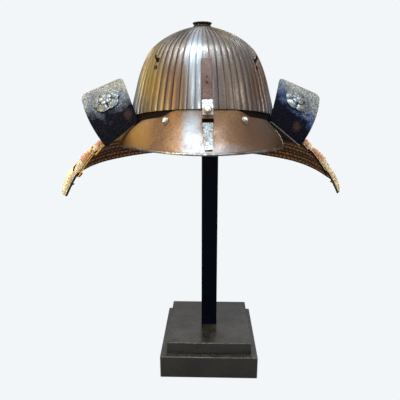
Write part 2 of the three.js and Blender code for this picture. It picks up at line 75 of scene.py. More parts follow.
def evenPath(points, count):
    # evenly spaced points along a smooth curve through the given ones
    padded = [points[0] * 2 - points[1], *points, points[-1] * 2 - points[-2]]
    fine = []
    for p0, p1, p2, p3 in zip(padded, padded[1:], padded[2:], padded[3:]):
        t1 = (p1 - p0).length ** 0.5
        t2 = t1 + (p2 - p1).length ** 0.5
        t3 = t2 + (p3 - p2).length ** 0.5
        for step in range(24):
            t = mix(t1, t2, step / 24)
            a1 = p0.lerp(p1, t / t1)
            a2 = p1.lerp(p2, (t - t1) / (t2 - t1))
            a3 = p2.lerp(p3, (t - t2) / (t3 - t2))
            b1 = a1.lerp(a2, t / t2)
            b2 = a2.lerp(a3, (t - t1) / (t3 - t1))
            fine.append(b1.lerp(b2, (t - t1) / (t2 - t1)))
    fine.append(points[-1].copy())
    lengths = [0.0]
    for a, b in zip(fine, fine[1:]):
        lengths.append(lengths[-1] + (b - a).length)
    path, k = [], 0
    for i in range(count):
        target = lengths[-1] * i / (count - 1)
        while k < len(fine) - 2 and lengths[k + 1] < target:
            k += 1
        path.append(fine[k].lerp(fine[k + 1], (target - lengths[k]) / (lengths[k + 1] - lengths[k])))
    return path


def wornMesh():
    # an empty mesh that holds a worn share for each corner, and a UV map
    bm = bmesh.new()
    bm.verts.layers.float.new("worn")
    bm.loops.layers.uv.new("UVMap")
    return bm


def bendGrid(columns, rows, at, join=()):
    # a flat grid bent so that each corner lies where at(column, row) says
    # at may also give the corner's worn share
    bm = bmesh.new()
    uv = bm.loops.layers.uv.new("UVMap")
    worn = bm.verts.layers.float.new("worn")
    bmesh.ops.create_grid(bm, x_segments=columns, y_segments=rows, size=1, calc_uvs=True)
    for face in bm.faces:
        for loop in face.loops:
            loop[uv].uv = (loop[uv].uv.x * columns, loop[uv].uv.y * rows)
    for vert in bm.verts:
        column = round((vert.co.x + 1) / 2 * columns)
        row = round((vert.co.y + 1) / 2 * rows)
        place = at(column, row)
        if isinstance(place, tuple):
            place, vert[worn] = place
        vert.co = place
    if join:
        bmesh.ops.remove_doubles(bm, verts=bm.verts, dist=0.002)
    return bm


def closeEnds(bm):
    edges = [edge for edge in bm.edges if edge.is_boundary]
    if edges:
        bmesh.ops.holes_fill(bm, edges=edges, sides=0)


def bothSides(outer):
    # row order of a closed wall: up its outer face, then down its inner one, and back to the start
    return [(share, True) for share in outer] + [
        (share, False) for share in reversed(outer)
    ] + [(outer[0], True)]


def sweep(path, section, sides=10, ring=False):
    # a tube along a path; section(row, angle) gives a corner's offset across and out of it
    count = len(path)
    tangents = []
    for i in range(count):
        before = path[i - 1] if i or ring else path[i]
        after = path[(i + 1) % count] if i + 1 < count or ring else path[i]
        tangents.append((after - before).normalized())
    normal = tangents[0].orthogonal().normalized()
    frames = []
    for tangent in tangents:
        normal = (normal - tangent * normal.dot(tangent)).normalized()
        frames.append((normal.copy(), tangent.cross(normal)))
    rows = count if ring else count - 1

    def at(column, row):
        angle = 2 * math.pi * column / sides
        side, up = frames[row % count]
        across, out = section(row % count, angle)
        return path[row % count] + side * across + up * out

    bm = bendGrid(sides, rows, at, join=True)
    closeEnds(bm)
    return bm


def roundTube(path, radius, sides=8, ring=False):
    return sweep(path, lambda row, angle: (radius * math.cos(angle), radius * math.sin(angle)), sides, ring)


def merge(target, source, place=None):
    # adds one bmesh to another, moved by a matrix
    mesh = bpy.data.meshes.new("part")
    source.to_mesh(mesh)
    source.free()
    if place is not None:
        mesh.transform(place)
    target.from_mesh(mesh)
    bpy.data.meshes.remove(mesh)


def lookAlong(at, out, up=Vector((0, 0, 1))):
    # a place whose z runs along out, for small pieces that stand on a surface
    out = out.normalized()
    side = up.cross(out).normalized()
    return Matrix.Translation(at) @ Matrix((side, out.cross(side), out)).transposed().to_4x4()


def makePiece(name, bm, material, replaces=(), place=helmetPlace, angle=35):
    bmesh.ops.recalc_face_normals(bm, faces=bm.faces)
    mesh = bpy.data.meshes.new(name)
    bm.to_mesh(mesh)
    bm.free()
    mesh.transform(place)
    mesh.shade_smooth()
    mesh.set_sharp_from_angle(angle=math.radians(angle))
    for one in material if isinstance(material, list) else [material]:
        mesh.materials.append(one)
    piece = bpy.data.objects.new(name, mesh)
    scene.collection.objects.link(piece)
    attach(piece, "root")
    if replaces:
        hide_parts(*replaces)
    return piece


def carve(piece, cutters):
    # cuts boxes or pins out of a closed piece
    for index, cutter in enumerate(cutters):
        mesh = bpy.data.meshes.new("cutter")
        cutter.to_mesh(mesh)
        cutter.free()
        tool = bpy.data.objects.new("cutter", mesh)
        scene.collection.objects.link(tool)
        modifier = piece.modifiers.new("cut" + str(index), "BOOLEAN")
        modifier.operation = "DIFFERENCE"
        modifier.solver = "EXACT"
        modifier.object = tool
        shaped = bpy.data.meshes.new_from_object(piece.evaluated_get(bpy.context.evaluated_depsgraph_get()))
        piece.modifiers.clear()
        piece.data = shaped
        bpy.data.objects.remove(tool)


# shared shader groups


class Nodes:
    def __init__(self, tree):
        self.tree = tree

    def add(self, kind, sockets=None, **settings):
        node = self.tree.nodes.new(kind)
        for key, value in settings.items():
            setattr(node, key, value)
        for key, value in (sockets or {}).items():
            self.feed(node.inputs[key], value)
        return node

    def feed(self, socket, value):
        if isinstance(value, bpy.types.NodeSocket):
            self.tree.links.new(value, socket)
        else:
            socket.default_value = value

    def calc(self, operation, a, b=0.0, c=0.0, clamp=False):
        node = self.add("ShaderNodeMath", operation=operation, use_clamp=clamp)
        for index, value in enumerate((a, b, c)):
            self.feed(node.inputs[index], value)
        return node.outputs[0]

    def blend(self, share, a, b, kind="MIX"):
        node = self.add("ShaderNodeMix", data_type="RGBA", blend_type=kind)
        for index, value in ((0, share), (6, a), (7, b)):
            if index > 0 and not isinstance(value, bpy.types.NodeSocket):
                value = (*value, 1.0)
            self.feed(node.inputs[index], value)
        return node.outputs[2]

    def spread(self, value, low, high, first=0.0, last=1.0):
        node = self.add("ShaderNodeMapRange", interpolation_type="SMOOTHSTEP")
        for index, entry in enumerate((value, low, high, first, last)):
            self.feed(node.inputs[index], entry)
        return node.outputs[0]

    def sway(self, value, amount):
        # swings either side of zero as the value passes its middle of 0.5
        return self.calc("MULTIPLY", self.calc("SUBTRACT", value, 0.5), amount)

    def worn(self):
        return self.add("ShaderNodeAttribute", attribute_name="worn").outputs["Fac"]

    def noise(self, vector, scale, detail=4.0, rough=0.55, twist=0.0):
        node = self.add(
            "ShaderNodeTexNoise",
            {"Vector": vector, "Scale": scale, "Detail": detail, "Roughness": rough, "Distortion": twist},
        )
        return node.outputs[0]


def makeGroup(name, takes, gives):
    group = bpy.data.node_groups.new(name, "ShaderNodeTree")
    for label, kind, value in takes:
        socket = group.interface.new_socket(label, in_out="INPUT", socket_type="NodeSocket" + kind)
        if value is not None:
            socket.default_value = value
    for label, kind in gives:
        group.interface.new_socket(label, in_out="OUTPUT", socket_type="NodeSocket" + kind)
    nodes = Nodes(group)
    return group, nodes, nodes.add("NodeGroupInput").outputs, nodes.add("NodeGroupOutput").inputs


def makePatinaGroup():
    # old iron: broad stains, fine flecks, pits to feel, and bare metal where edges are rubbed
    group, nodes, takes, gives = makeGroup(
        "patina",
        [
            ("Vector", "Vector", None),
            ("Worn", "Float", 0.0),
            ("Stain Size", "Float", 0.04),
            ("Pit Size", "Float", 0.0016),
            ("Rubbing", "Float", 0.5),
        ],
        [("Stain", "Float"), ("Fleck", "Float"), ("Pits", "Float"), ("Rubbed", "Float")],
    )
    stainScale = nodes.calc("DIVIDE", 1.0, takes["Stain Size"])
    pitScale = nodes.calc("DIVIDE", 1.0, takes["Pit Size"])
    stain = nodes.noise(takes["Vector"], stainScale, 6.0, 0.62, 0.4)
    nodes.feed(gives["Stain"], nodes.spread(stain, 0.36, 0.64))
    fleck = nodes.noise(takes["Vector"], nodes.calc("MULTIPLY", pitScale, 0.7), 4.0, 0.75)
    nodes.feed(gives["Fleck"], nodes.spread(fleck, 0.46, 0.6))
    cells = nodes.add(
        "ShaderNodeTexVoronoi", {"Vector": takes["Vector"], "Scale": pitScale}, feature="SMOOTH_F1"
    )
    pit = nodes.spread(cells.outputs["Distance"], 0.05, 0.5)
    grit = nodes.noise(takes["Vector"], nodes.calc("MULTIPLY", pitScale, 1.7), 3.0, 0.6)
    patch = nodes.spread(stain, 0.42, 0.6, 0.25, 1.0)
    nodes.feed(
        gives["Pits"],
        nodes.calc("ADD", nodes.calc("MULTIPLY", pit, patch), nodes.calc("MULTIPLY", grit, 0.5)),
    )
    broken = nodes.noise(takes["Vector"], nodes.calc("MULTIPLY", pitScale, 0.25), 4.0, 0.7)
    reach = nodes.calc(
        "ADD", nodes.calc("SUBTRACT", takes["Worn"], 1.0), nodes.calc("MULTIPLY", takes["Rubbing"], 1.2)
    )
    rubbed = nodes.calc("ADD", reach, nodes.sway(broken, 1.3))
    nodes.feed(gives["Rubbed"], nodes.spread(rubbed, 0.0, 0.5))
    return group


def makeDustGroup():
    # pale dust in streaks and on what faces up
    group, nodes, takes, gives = makeGroup(
        "dust", [("Vector", "Vector", None), ("Amount", "Float", 0.3)], [("Dust", "Float")]
    )
    facing = nodes.add("ShaderNodeSeparateXYZ", {0: nodes.add("ShaderNodeNewGeometry").outputs["Normal"]})
    up = nodes.spread(facing.outputs[2], 0.35, 1.0)
    cloud = nodes.noise(takes["Vector"], 55.0, 7.0, 0.7)
    dust = nodes.calc(
        "MULTIPLY", nodes.calc("MULTIPLY", up, nodes.spread(cloud, 0.35, 0.75)), takes["Amount"]
    )
    nodes.feed(gives["Dust"], dust)
    return group


def makeBraidGroup():
    # a flat silk braid: two rows of slanting strands that meet in a V; u counts braids, v counts strand pairs
    group, nodes, takes, gives = makeGroup(
        "braid",
        [("Vector", "Vector", None), ("Strands", "Float", 3.0)],
        [("Strand", "Float"), ("Seam", "Float"), ("Thread", "Float")],
    )
    parts = nodes.add("ShaderNodeSeparateXYZ", {0: takes["Vector"]})
    inside = nodes.calc("FRACT", parts.outputs[0])
    fromMiddle = nodes.calc("ABSOLUTE", nodes.calc("SUBTRACT", inside, 0.5))
    slant = nodes.calc(
        "ADD",
        nodes.calc("MULTIPLY", parts.outputs[1], takes["Strands"]),
        nodes.calc("MULTIPLY", fromMiddle, 2.2),
    )
    phase = nodes.calc("FRACT", slant)
    strand = nodes.calc("SINE", nodes.calc("MULTIPLY", phase, math.pi))
    nodes.feed(gives["Strand"], nodes.calc("POWER", strand, 0.6))
    nodes.feed(
        gives["Seam"],
        nodes.spread(nodes.calc("ABSOLUTE", nodes.calc("SUBTRACT", fromMiddle, 0.25)), 0.17, 0.25),
    )
    thread = nodes.calc(
        "SINE", nodes.calc("MULTIPLY", nodes.calc("ADD", phase, nodes.calc("MULTIPLY", inside, 3.0)), 26.0)
    )
    nodes.feed(gives["Thread"], nodes.calc("MULTIPLY_ADD", thread, 0.5, 0.5))
    return group


def makeGrainGroup():
    # leather: pebbles of uneven size with creases between them
    group, nodes, takes, gives = makeGroup(
        "leatherGrain",
        [("Vector", "Vector", None), ("Pebble", "Float", 0.0022)],
        [("Height", "Float"), ("Crease", "Float"), ("Blotch", "Float")],
    )
    scale = nodes.calc("DIVIDE", 1.0, takes["Pebble"])
    bent = nodes.add("ShaderNodeTexNoise", {"Vector": takes["Vector"], "Scale": 190.0, "Detail": 3.0})
    moved = nodes.add(
        "ShaderNodeMix",
        {0: 0.004, 4: takes["Vector"], 5: bent.outputs["Color"]},
        data_type="VECTOR",
    ).outputs[1]
    cells = nodes.add("ShaderNodeTexVoronoi", {"Vector": moved, "Scale": scale}, feature="DISTANCE_TO_EDGE")
    crease = nodes.spread(cells.outputs["Distance"], 0.0, 0.22, 1.0, 0.0)
    fine = nodes.noise(takes["Vector"], nodes.calc("MULTIPLY", scale, 2.1), 4.0, 0.65)
    nodes.feed(gives["Crease"], crease)
    nodes.feed(
        gives["Height"],
        nodes.calc("SUBTRACT", nodes.calc("MULTIPLY", fine, 0.6), nodes.calc("MULTIPLY", crease, 0.8)),
    )
    nodes.feed(gives["Blotch"], nodes.spread(nodes.noise(takes["Vector"], 38.0, 6.0, 0.68), 0.38, 0.66))
    return group


patinaGroup = makePatinaGroup()
dustGroup = makeDustGroup()
braidGroup = makeBraidGroup()
grainGroup = makeGrainGroup()
print("shader groups made")


def newMaterial(name):
    material = bpy.data.materials.new(name)
    material.use_nodes = True
    nodes = Nodes(material.node_tree)
    shader = material.node_tree.nodes["Principled BSDF"]
    place = nodes.add("ShaderNodeTexCoord").outputs["Object"]
    return material, nodes, shader, place


def bumpOn(nodes, shader, height, distance, strength=1.0):
    bump = nodes.add("ShaderNodeBump", {"Height": height, "Distance": distance, "Strength": strength})
    nodes.feed(shader.inputs["Normal"], bump.outputs[0])


def ironMaterial(name, look):
    # patinated iron; look gives its colours and how far it is worn
    material, nodes, shader, place = newMaterial(name)
    worn = nodes.worn()
    patina = nodes.add(
        "ShaderNodeGroup",
        {
            "Vector": place,
            "Worn": worn,
            "Stain Size": look.get("stainSize", 0.045),
            "Pit Size": look.get("pitSize", 0.0016),
            "Rubbing": look.get("rubbing", 0.4),
        },
        node_tree=patinaGroup,
    ).outputs
    colour = nodes.blend(patina["Stain"], look["base"], look["stain"])
    colour = nodes.blend(
        nodes.calc("MULTIPLY", patina["Fleck"], look.get("flecks", 0.35)), colour, look["fleck"]
    )
    if "plates" in look:  # each plate of the bowl has a tone of its own
        uv = nodes.add("ShaderNodeSeparateXYZ", {0: nodes.add("ShaderNodeUVMap", uv_map="UVMap").outputs[0]})
        plate = nodes.calc("FLOOR", nodes.calc("MULTIPLY_ADD", uv.outputs[0], 1 / look["plates"], 0.66))
        tone = nodes.add("ShaderNodeTexWhiteNoise", {1: plate}, noise_dimensions="1D").outputs[0]
        colour = nodes.blend(nodes.calc("MULTIPLY", tone, 0.45), colour, look["stain"])
    for middle, reach, tone, amount in look.get("zones", ()):
        # a soft ellipse over width and height, which runs through from front to back
        scaled = nodes.add(
            "ShaderNodeVectorMath", {0: place, 1: (middle[0], 0, middle[1])}, operation="SUBTRACT"
        ).outputs[0]
        scaled = nodes.add(
            "ShaderNodeVectorMath", {0: scaled, 1: (1 / reach[0], 0, 1 / reach[1])}, operation="MULTIPLY"
        ).outputs[0]
        away = nodes.add("ShaderNodeVectorMath", {0: scaled}, operation="LENGTH").outputs["Value"]
        away = nodes.calc("ADD", away, nodes.sway(patina["Stain"], 0.35))
        colour = nodes.blend(nodes.spread(away, 0.2, 1.5, amount, 0.0), colour, tone)
    colour = nodes.blend(patina["Rubbed"], colour, look["bare"])
    if "low" in look:  # grime where the worn value falls below zero
        grime = nodes.spread(worn, -1.0, 0.0, 1.0, 0.0)
        colour = nodes.blend(nodes.calc("MULTIPLY", grime, 0.85), colour, look["low"])
    dust = nodes.add(
        "ShaderNodeGroup", {"Vector": place, "Amount": look.get("dust", 0.1)}, node_tree=dustGroup
    ).outputs[0]
    colour = nodes.blend(dust, colour, (0.42, 0.39, 0.35))
    nodes.feed(shader.inputs["Base Color"], colour)
    metal = nodes.calc("SUBTRACT", look.get("metal", 0.9), nodes.calc("MULTIPLY", dust, 0.8), clamp=True)
    nodes.feed(shader.inputs["Metallic"], metal)
    rough = nodes.calc("ADD", look["rough"], nodes.calc("MULTIPLY", patina["Stain"], 0.1))
    rough = nodes.calc("ADD", rough, nodes.calc("MULTIPLY", patina["Fleck"], 0.12))
    rough = nodes.calc("SUBTRACT", rough, nodes.calc("MULTIPLY", patina["Rubbed"], 0.12), clamp=True)
    nodes.feed(shader.inputs["Roughness"], rough)
    shader.inputs["Specular IOR Level"].default_value = look.get("gloss", 0.5)
    shader.inputs["Coat Weight"].default_value = look.get("wax", 0.0)
    shader.inputs["Coat Roughness"].default_value = 0.3
    bumpOn(nodes, shader, patina["Pits"], look.get("pitDepth", 0.00025), look.get("bump", 0.5))
    return material


# bowl

bowl = {
    "halfWidth": 106.8,
    "halfLength": 120.5,
    "wall": 2.5,
    "edgeRise": 16,
    "plates": 62,
    "ribHeight": 2.0,
    "rows": 60,
}
bowlProfile = [  # height above the ear edge, reach as a share of the half width
    (-18, 1.008), (0, 1.0), (14, 0.99), (36, 0.94), (59, 0.88), (77, 0.816), (94, 0.728), (105, 0.625),
    (114, 0.5), (122, 0.35), (128.5, 0.195), (131.4, 0.08),
]  # fmt: skip
bowlPath = evenPath([Vector((reach * bowl["halfWidth"], rise)) for rise, reach in bowlProfile], 321)
plateAngle = 2 * math.pi / bowl["plates"]
brow = -math.pi / 2


def edgeHeight(turn):
    return -bowl["edgeRise"] * math.sin(turn)


def alongProfile(rise):
    for i, (low, high) in enumerate(zip(bowlPath, bowlPath[1:])):
        if rise <= high.y:
            return (i + max(rise - low.y, 0) / (high.y - low.y)) / (len(bowlPath) - 1)
    return 1.0


def planNormal(turn):
    return Vector((math.cos(turn) / bowl["halfWidth"], math.sin(turn) / bowl["halfLength"], 0)).normalized()


def bowlPoint(turn, along, lift=0.0):
    at = min(max(along, 0.0), 1.0) * (len(bowlPath) - 1)
    k = min(int(at), len(bowlPath) - 2)
    here = bowlPath[k].lerp(bowlPath[k + 1], at - k)
    before, after = bowlPath[max(k - 2, 0)], bowlPath[min(k + 3, len(bowlPath) - 1)]
    tangent = (after - before).normalized()
    out = planNormal(turn)
    longer = bowl["halfLength"] / bowl["halfWidth"]
    return Vector((
        here.x * math.cos(turn) + lift * tangent.y * out.x,
        here.x * longer * math.sin(turn) + lift * tangent.y * out.y,
        here.y - lift * tangent.x,
    ))


def bowlNormal(turn, along):
    return (bowlPoint(turn, along, 1) - bowlPoint(turn, along)).normalized()


ribSection = [  # across one plate from rib to rib: place as a share of it, height there, worn share
    (-0.5, 0.22, 0), (-0.34, 0.18, 0), (-0.2, 0.08, 0), (-0.1, -0.04, -0.1), (-0.08, 0.1, -0.6),
    (-0.06, 0.7, 0.1),
    (-0.035, 0.86, 0.5), (0.012, 0.8, 0.4), (0.045, 0.4, 0.1), (0.08, 0.0, -0.15), (0.2, 0.08, 0),
    (0.34, 0.18, 0),
]  # fmt: skip


def makeBowl():
    columns = len(ribSection) * bowl["plates"]
    outer = [i / bowl["rows"] for i in range(bowl["rows"] + 1)]
    inner = [1, 0.8, 0.6, 0.4, 0.2, 0]
    rows = [(share, True) for share in outer] + [(share, False) for share in inner] + [(0, True)]
    starts = {}

    def at(column, row):
        plate, part = divmod(column, len(ribSection))
        shift, height, worn = ribSection[part]
        share, outside = rows[row]
        turn = (plate + shift) * plateAngle
        if column not in starts:
            starts[column] = alongProfile(edgeHeight(turn))
        along = starts[column] + (1 - starts[column]) * share
        if not outside:
            return bowlPoint(turn, along, -bowl["wall"]), 0.0
        fade = smoothStep(1 - share, 0.02, 0.22)
        lift = bowl["ribHeight"] * height * mix(0.3, 1, fade)
        return bowlPoint(turn, along, lift), worn

    bm = bendGrid(columns, len(rows) - 1, at, join=True)
    look = {
        "base": (0.24, 0.21, 0.185), "stain": (0.16, 0.125, 0.105), "fleck": (0.08, 0.055, 0.04),
        "flecks": 0.8,
        "bare": (0.55, 0.54, 0.53), "low": (0.02, 0.014, 0.01), "metal": 0.72, "rough": 0.27, "rubbing": 0.25,
        "gloss": 0.8, "wax": 0.3,
        "zones": [
            # painted warm reflection: a gold patch low on the left
            ((-0.082, 0.466), (0.022, 0.045), (0.34, 0.22, 0.06), 1.0),
            ((-0.046, 0.452), (0.02, 0.042), (0.14, 0.075, 0.042), 1.0),
            # painted highlight: a pale blue-grey streak down the front, left of the middle
            ((-0.02, 0.49), (0.011, 0.07), (0.5, 0.54, 0.58), 0.7),
            ((0.066, 0.465), (0.016, 0.04), (0.12, 0.055, 0.026), 1.0),
            ((-0.01, 0.55), (0.08, 0.016), (0.36, 0.28, 0.2), 0.8),
            ((-0.118, 0.44), (0.014, 0.06), (0.2, 0.22, 0.24), 0.8),
            ((0.1, 0.44), (0.016, 0.06), (0.2, 0.21, 0.22), 0.8),
        ],
        "stainSize": 0.05, "pitSize": 0.0013, "pitDepth": 0.00025, "bump": 0.5, "dust": 0.08,
        "plates": len(ribSection),
    }  # fmt: skip
    return makePiece("bowl", bm, ironMaterial("russetIron", look), ["ribbed_bowl"])


makeBowl()
print("bowl made")

# crown ring

crownRing = {"foot": 12.6, "top": 14.4, "height": 5.2, "petals": 20, "hole": 8.9}


def makeCrownRing():
    # each row: radius, height, how deep its petals are cut, worn share
    rows = [
        (crownRing["hole"], 0.2, 0, 0), (crownRing["foot"] - 0.6, -1.1, 0, 0), (13.4, -0.9, 0.4, 0.2),
        (13.7, 0.1, 0.7, 0.9),
        (13.2, 1.0, 0.6, 0.6), (12.0, 1.5, 0.2, 0), (11.8, 1.9, 0, -0.6), (12.2, 2.4, 0.2, 0.2),
        (13.6, 3.5, 0.9, 0.5),
        (14.2, 4.3, 1.3, 0.9), (14.4, 5.0, 1.5, 1.0), (14.0, 5.3, 1.4, 1.0), (13.0, 5.2, 0.9, 0.6),
        (11.6, 4.4, 0.3, 0),
        (10.4, 4.0, 0, 0.3), (9.6, 4.2, 0, 0.9), (crownRing["hole"], 3.9, 0, 0.4),
        (crownRing["hole"], 0.2, 0, 0),
    ]  # fmt: skip
    top = bowlProfile[-1][0] + 0.9

    def at(column, row):
        radius, height, cut, worn = rows[-1 - row]
        turn = 2 * math.pi * column / 160
        notch = abs(math.sin(turn * crownRing["petals"] / 2)) ** 0.6  # 0 between two petals
        radius -= cut * (1 - notch)
        height -= cut * 0.25 * (1 - notch)
        groove = -0.9 * (1 - notch) if cut > 0.3 else 0
        return Vector((radius * math.cos(turn), radius * math.sin(turn), top + height)), worn * notch + groove

    bm = bendGrid(160, len(rows) - 1, at, join=True)
    look = {
        "base": (0.03, 0.026, 0.022), "stain": (0.018, 0.016, 0.014), "fleck": (0.06, 0.045, 0.03),
        "bare": (0.2, 0.17, 0.13),
        "low": (0.004, 0.003, 0.003), "metal": 0.8, "rough": 0.38, "rubbing": 0.3, "stainSize": 0.01,
        "pitSize": 0.0008,
    }  # fmt: skip
    return makePiece("crown_fitting", bm, ironMaterial("blackIron", look), ["crown_ring"])


makeCrownRing()

# waist band

band = {"inside": 11, "below": 20, "wall": 2.2, "clear": 1.7, "step": 2.7}


def bandPoint(turn, height, lift):
    along = alongProfile(min(max(edgeHeight(turn) + max(height, 0), -17.9), 60))
    at = bowlPoint(turn, along, lift - bowl["wall"] - band["clear"])
    at.z = edgeHeight(turn) + height
    return at


def makeBand():
    low = -band["below"]
    section = [  # height, lift, worn
        (low, -1.6, 0), (low, -0.6, 0.5), (low + 0.5, 0, 1), (low + 1.6, 0.3, 0.8), (low + 2.6, 0, 0),
        (-10, 0, 0),
        (-1.2, 0, 0.3), (0, 0, 0), (4, 0, 0), (band["inside"], 0, 0), (band["inside"], -band["wall"], 0),
        (0, -band["wall"], 0), (-1.2, -band["wall"], 0), (low + 1, -band["wall"], 0), (low, -1.6, 0),
    ]  # fmt: skip

    def at(column, row):
        height, lift, worn = section[row]
        turn = 2 * math.pi * column / 248
        if height < 0:  # it steps out below the bowl, except behind the peak
            lift += band["step"] * (1 - smoothStep(math.degrees(math.acos(math.sin(turn))), 106, 112))
        return bandPoint(turn, height, lift), worn

    bm = bendGrid(248, len(section) - 1, at, join=True)
    # near-black with almost no shine: partly its own dark iron, partly painted shade, so the gap under the
    # bowl and the slot in the peak read black
    look = {
        "base": (0.012, 0.009, 0.008), "stain": (0.008, 0.006, 0.005), "fleck": (0.04, 0.022, 0.012),
        "bare": (0.2, 0.16, 0.12),
        "low": (0.006, 0.005, 0.004), "metal": 0.0, "rough": 0.6, "rubbing": 0.3, "dust": 0.0, "gloss": 0.08,
    }  # fmt: skip
    return makePiece("bowl_waist", bm, ironMaterial("bandIron", look), ["waist_band"])


makeBand()
print("ring and band made")

# peak

peak = {
    "wall": 2.0, "endAngle": 62, "rimFront": 158, "rimDrop": 37.3, "rimSwing": 65, "frontSag": 7,
    "sideBulge": 11,
    "columns": 120, "rows": 26, "gap": 0.35,
    "rimLeft": {"reach": 124, "back": 46, "sink": 0}, "rimRight": {"reach": 114.5, "back": 62, "sink": 3},
}  # fmt: skip
peakEdge = [  # angle from the brow, depth of the upper edge below the bowl's
    (0, 0.5), (22, 0.9), (27, 2.6), (31, 6.8), (35, 8.6), (54, 9.6), (59, 10.6), (62, 13.5),
]  # fmt: skip


def peakPoint(across, down, lift=0.0):
    # across -1 to 1 from side to side, down 0 at the band to 1 at the rim
    angle = abs(across) * peak["endAngle"]
    turn = math.copysign(math.radians(angle), across) + brow
    depth = sum(fromTable(peakEdge, abs(angle + shift)) for shift in (-1.6, 0, 1.6)) / 3
    top = bandPoint(turn, -depth, peak["gap"] + peak["wall"] + 0.6)
    swing = abs(across) * math.pi / 2
    end = peak["rimLeft"] if across < 0 else peak["rimRight"]
    aside = math.sin(math.radians(abs(across) * peak["rimSwing"])) / math.sin(math.radians(peak["rimSwing"]))
    rim = Vector((
        math.copysign(end["reach"] * aside, across),
        mix(-end["back"], -peak["rimFront"], 1 - aside ** 1.9),
        -peak["rimDrop"] - end["sink"] * aside * aside,
    ))
    drape = top.lerp(rim, 0.5) + planNormal(turn) * (
        peak["sideBulge"] * math.sin(swing) ** 4 - peak["frontSag"] * math.cos(swing)
    )
    at = top.lerp(drape, down).lerp(drape.lerp(rim, down), down)
    if not lift:
        return at
    tangent = drape.lerp(rim, down) - top.lerp(drape, down)
    side = peakPoint(min(across + 0.02, 1), down) - peakPoint(max(across - 0.02, -1), down)
    return at + side.cross(tangent).normalized() * -lift


def makePeak():
    downs = [1, 0.975] + [
        mix(0.955, 0.045, i / (peak["rows"] - 5)) for i in range(peak["rows"] - 4)
    ] + [0.015, 0]
    rows = bothSides(downs)

    def at(column, row):
        down, outside = rows[row]
        across = column / peak["columns"] * 2 - 1
        rubbed = -0.7 * max(smoothStep(down, 0.945, 0.975), smoothStep(abs(across), 0.965, 0.985))
        return peakPoint(across, down, 0.01 if outside else -peak["wall"]), rubbed

    bm = bendGrid(peak["columns"], len(rows) - 1, at, join=True)
    closeEnds(bm)
    look = {
        "base": (0.26, 0.115, 0.028), "stain": (0.17, 0.07, 0.016), "fleck": (0.08, 0.035, 0.013),
        "flecks": 0.9,
        "bare": (0.5, 0.46, 0.4), "low": (0.015, 0.009, 0.006), "metal": 0.65, "rough": 0.27,
        "rubbing": 0.3, "stainSize": 0.035, "pitSize": 0.0013,
        "pitDepth": 0.0004, "bump": 0.8, "dust": 0.0, "gloss": 0.9, "wax": 0.4,
        "zones": [
            # painted highlight: a pale blue-grey patch left of the middle
            ((-0.022, 0.388), (0.012, 0.05), (0.27, 0.29, 0.31), 0.85),
            # painted warm reflection: a gold streak towards the left end
            ((-0.1, 0.39), (0.02, 0.03), (0.42, 0.21, 0.04), 0.85),
            # painted highlight: a pale grey band low across the middle
            ((0.012, 0.372), (0.04, 0.012), (0.3, 0.3, 0.3), 0.6),
            ((0.085, 0.4), (0.05, 0.03), (0.1, 0.05, 0.02), 0.8),
        ],
    }  # fmt: skip
    return makePiece("peak_plate", bm, ironMaterial("goldenIron", look), ["peak"])


peakPiece = makePeak()
slot = {"width": 15.2, "top": 4, "bottom": -2, "aside": 0.6}
cutter = bmesh.new()
bmesh.ops.create_cube(cutter, size=1)
slotMiddle = (slot["aside"], -bowl["halfLength"] - 5, (slot["top"] + slot["bottom"]) / 2)
slotSize = (slot["width"], 30, slot["top"] - slot["bottom"], 1)
slotPlace = Matrix.Translation(slotMiddle) @ Matrix.Diagonal(slotSize)
bmesh.ops.transform(cutter, matrix=helmetPlace @ slotPlace, verts=cutter.verts)
carve(peakPiece, [cutter])


def makePeakRim():
    # a rolled wire along the peak's ends and lower edge
    route = [peakPoint(-1, down / 24, -0.6) for down in range(2, 24)]
    route += [peakPoint(-1 + i / 60, 1, -0.6) for i in range(121)]
    route += [peakPoint(1, 1 - down / 24, -0.6) for down in range(1, 23)]
    bm = roundTube(evenPath(route, 330), 1.5, 10)
    worn = bm.verts.layers.float["worn"]
    for vert in bm.verts:
        vert[worn] = 0.5
    look = {
        "base": (0.42, 0.4, 0.36), "stain": (0.16, 0.13, 0.1), "fleck": (0.05, 0.04, 0.03), "flecks": 0.8,
        "bare": (0.7, 0.7, 0.68), "metal": 0.92, "rough": 0.28, "rubbing": 0.4, "stainSize": 0.02,
        "pitSize": 0.0016,
    }  # fmt: skip
    return makePiece("peak_rim", bm, ironMaterial("rimIron", look))


makePeakRim()
print("peak made")

# strap, crest socket, rivets and studs

strap = {"width": 13.6, "thick": 1.8, "top": 76.5, "bend": 26, "out": 133, "rise": 8.5, "standOff": 2.6}
strapRoute = []
for i in range(4):
    at = bowlPoint(brow, alongProfile(mix(strap["top"], strap["bend"], i / 3)), strap["standOff"])
    strapRoute.append(Vector((0, at.y, at.z)))
strapRoute += [
    Vector((0, -strap["out"] + 5, strap["rise"] + 9)),
    Vector((0, -strap["out"], strap["rise"])),
]
strapPath = evenPath(strapRoute, 49)


def strapPoint(row, across, lift):
    before, after = strapPath[max(row - 1, 0)], strapPath[min(row + 1, 48)]
    tangent = (after - before).normalized()
    out = Vector((0, tangent.z, -tangent.y))
    return strapPath[row] + out * lift + Vector((across, 0, 0))


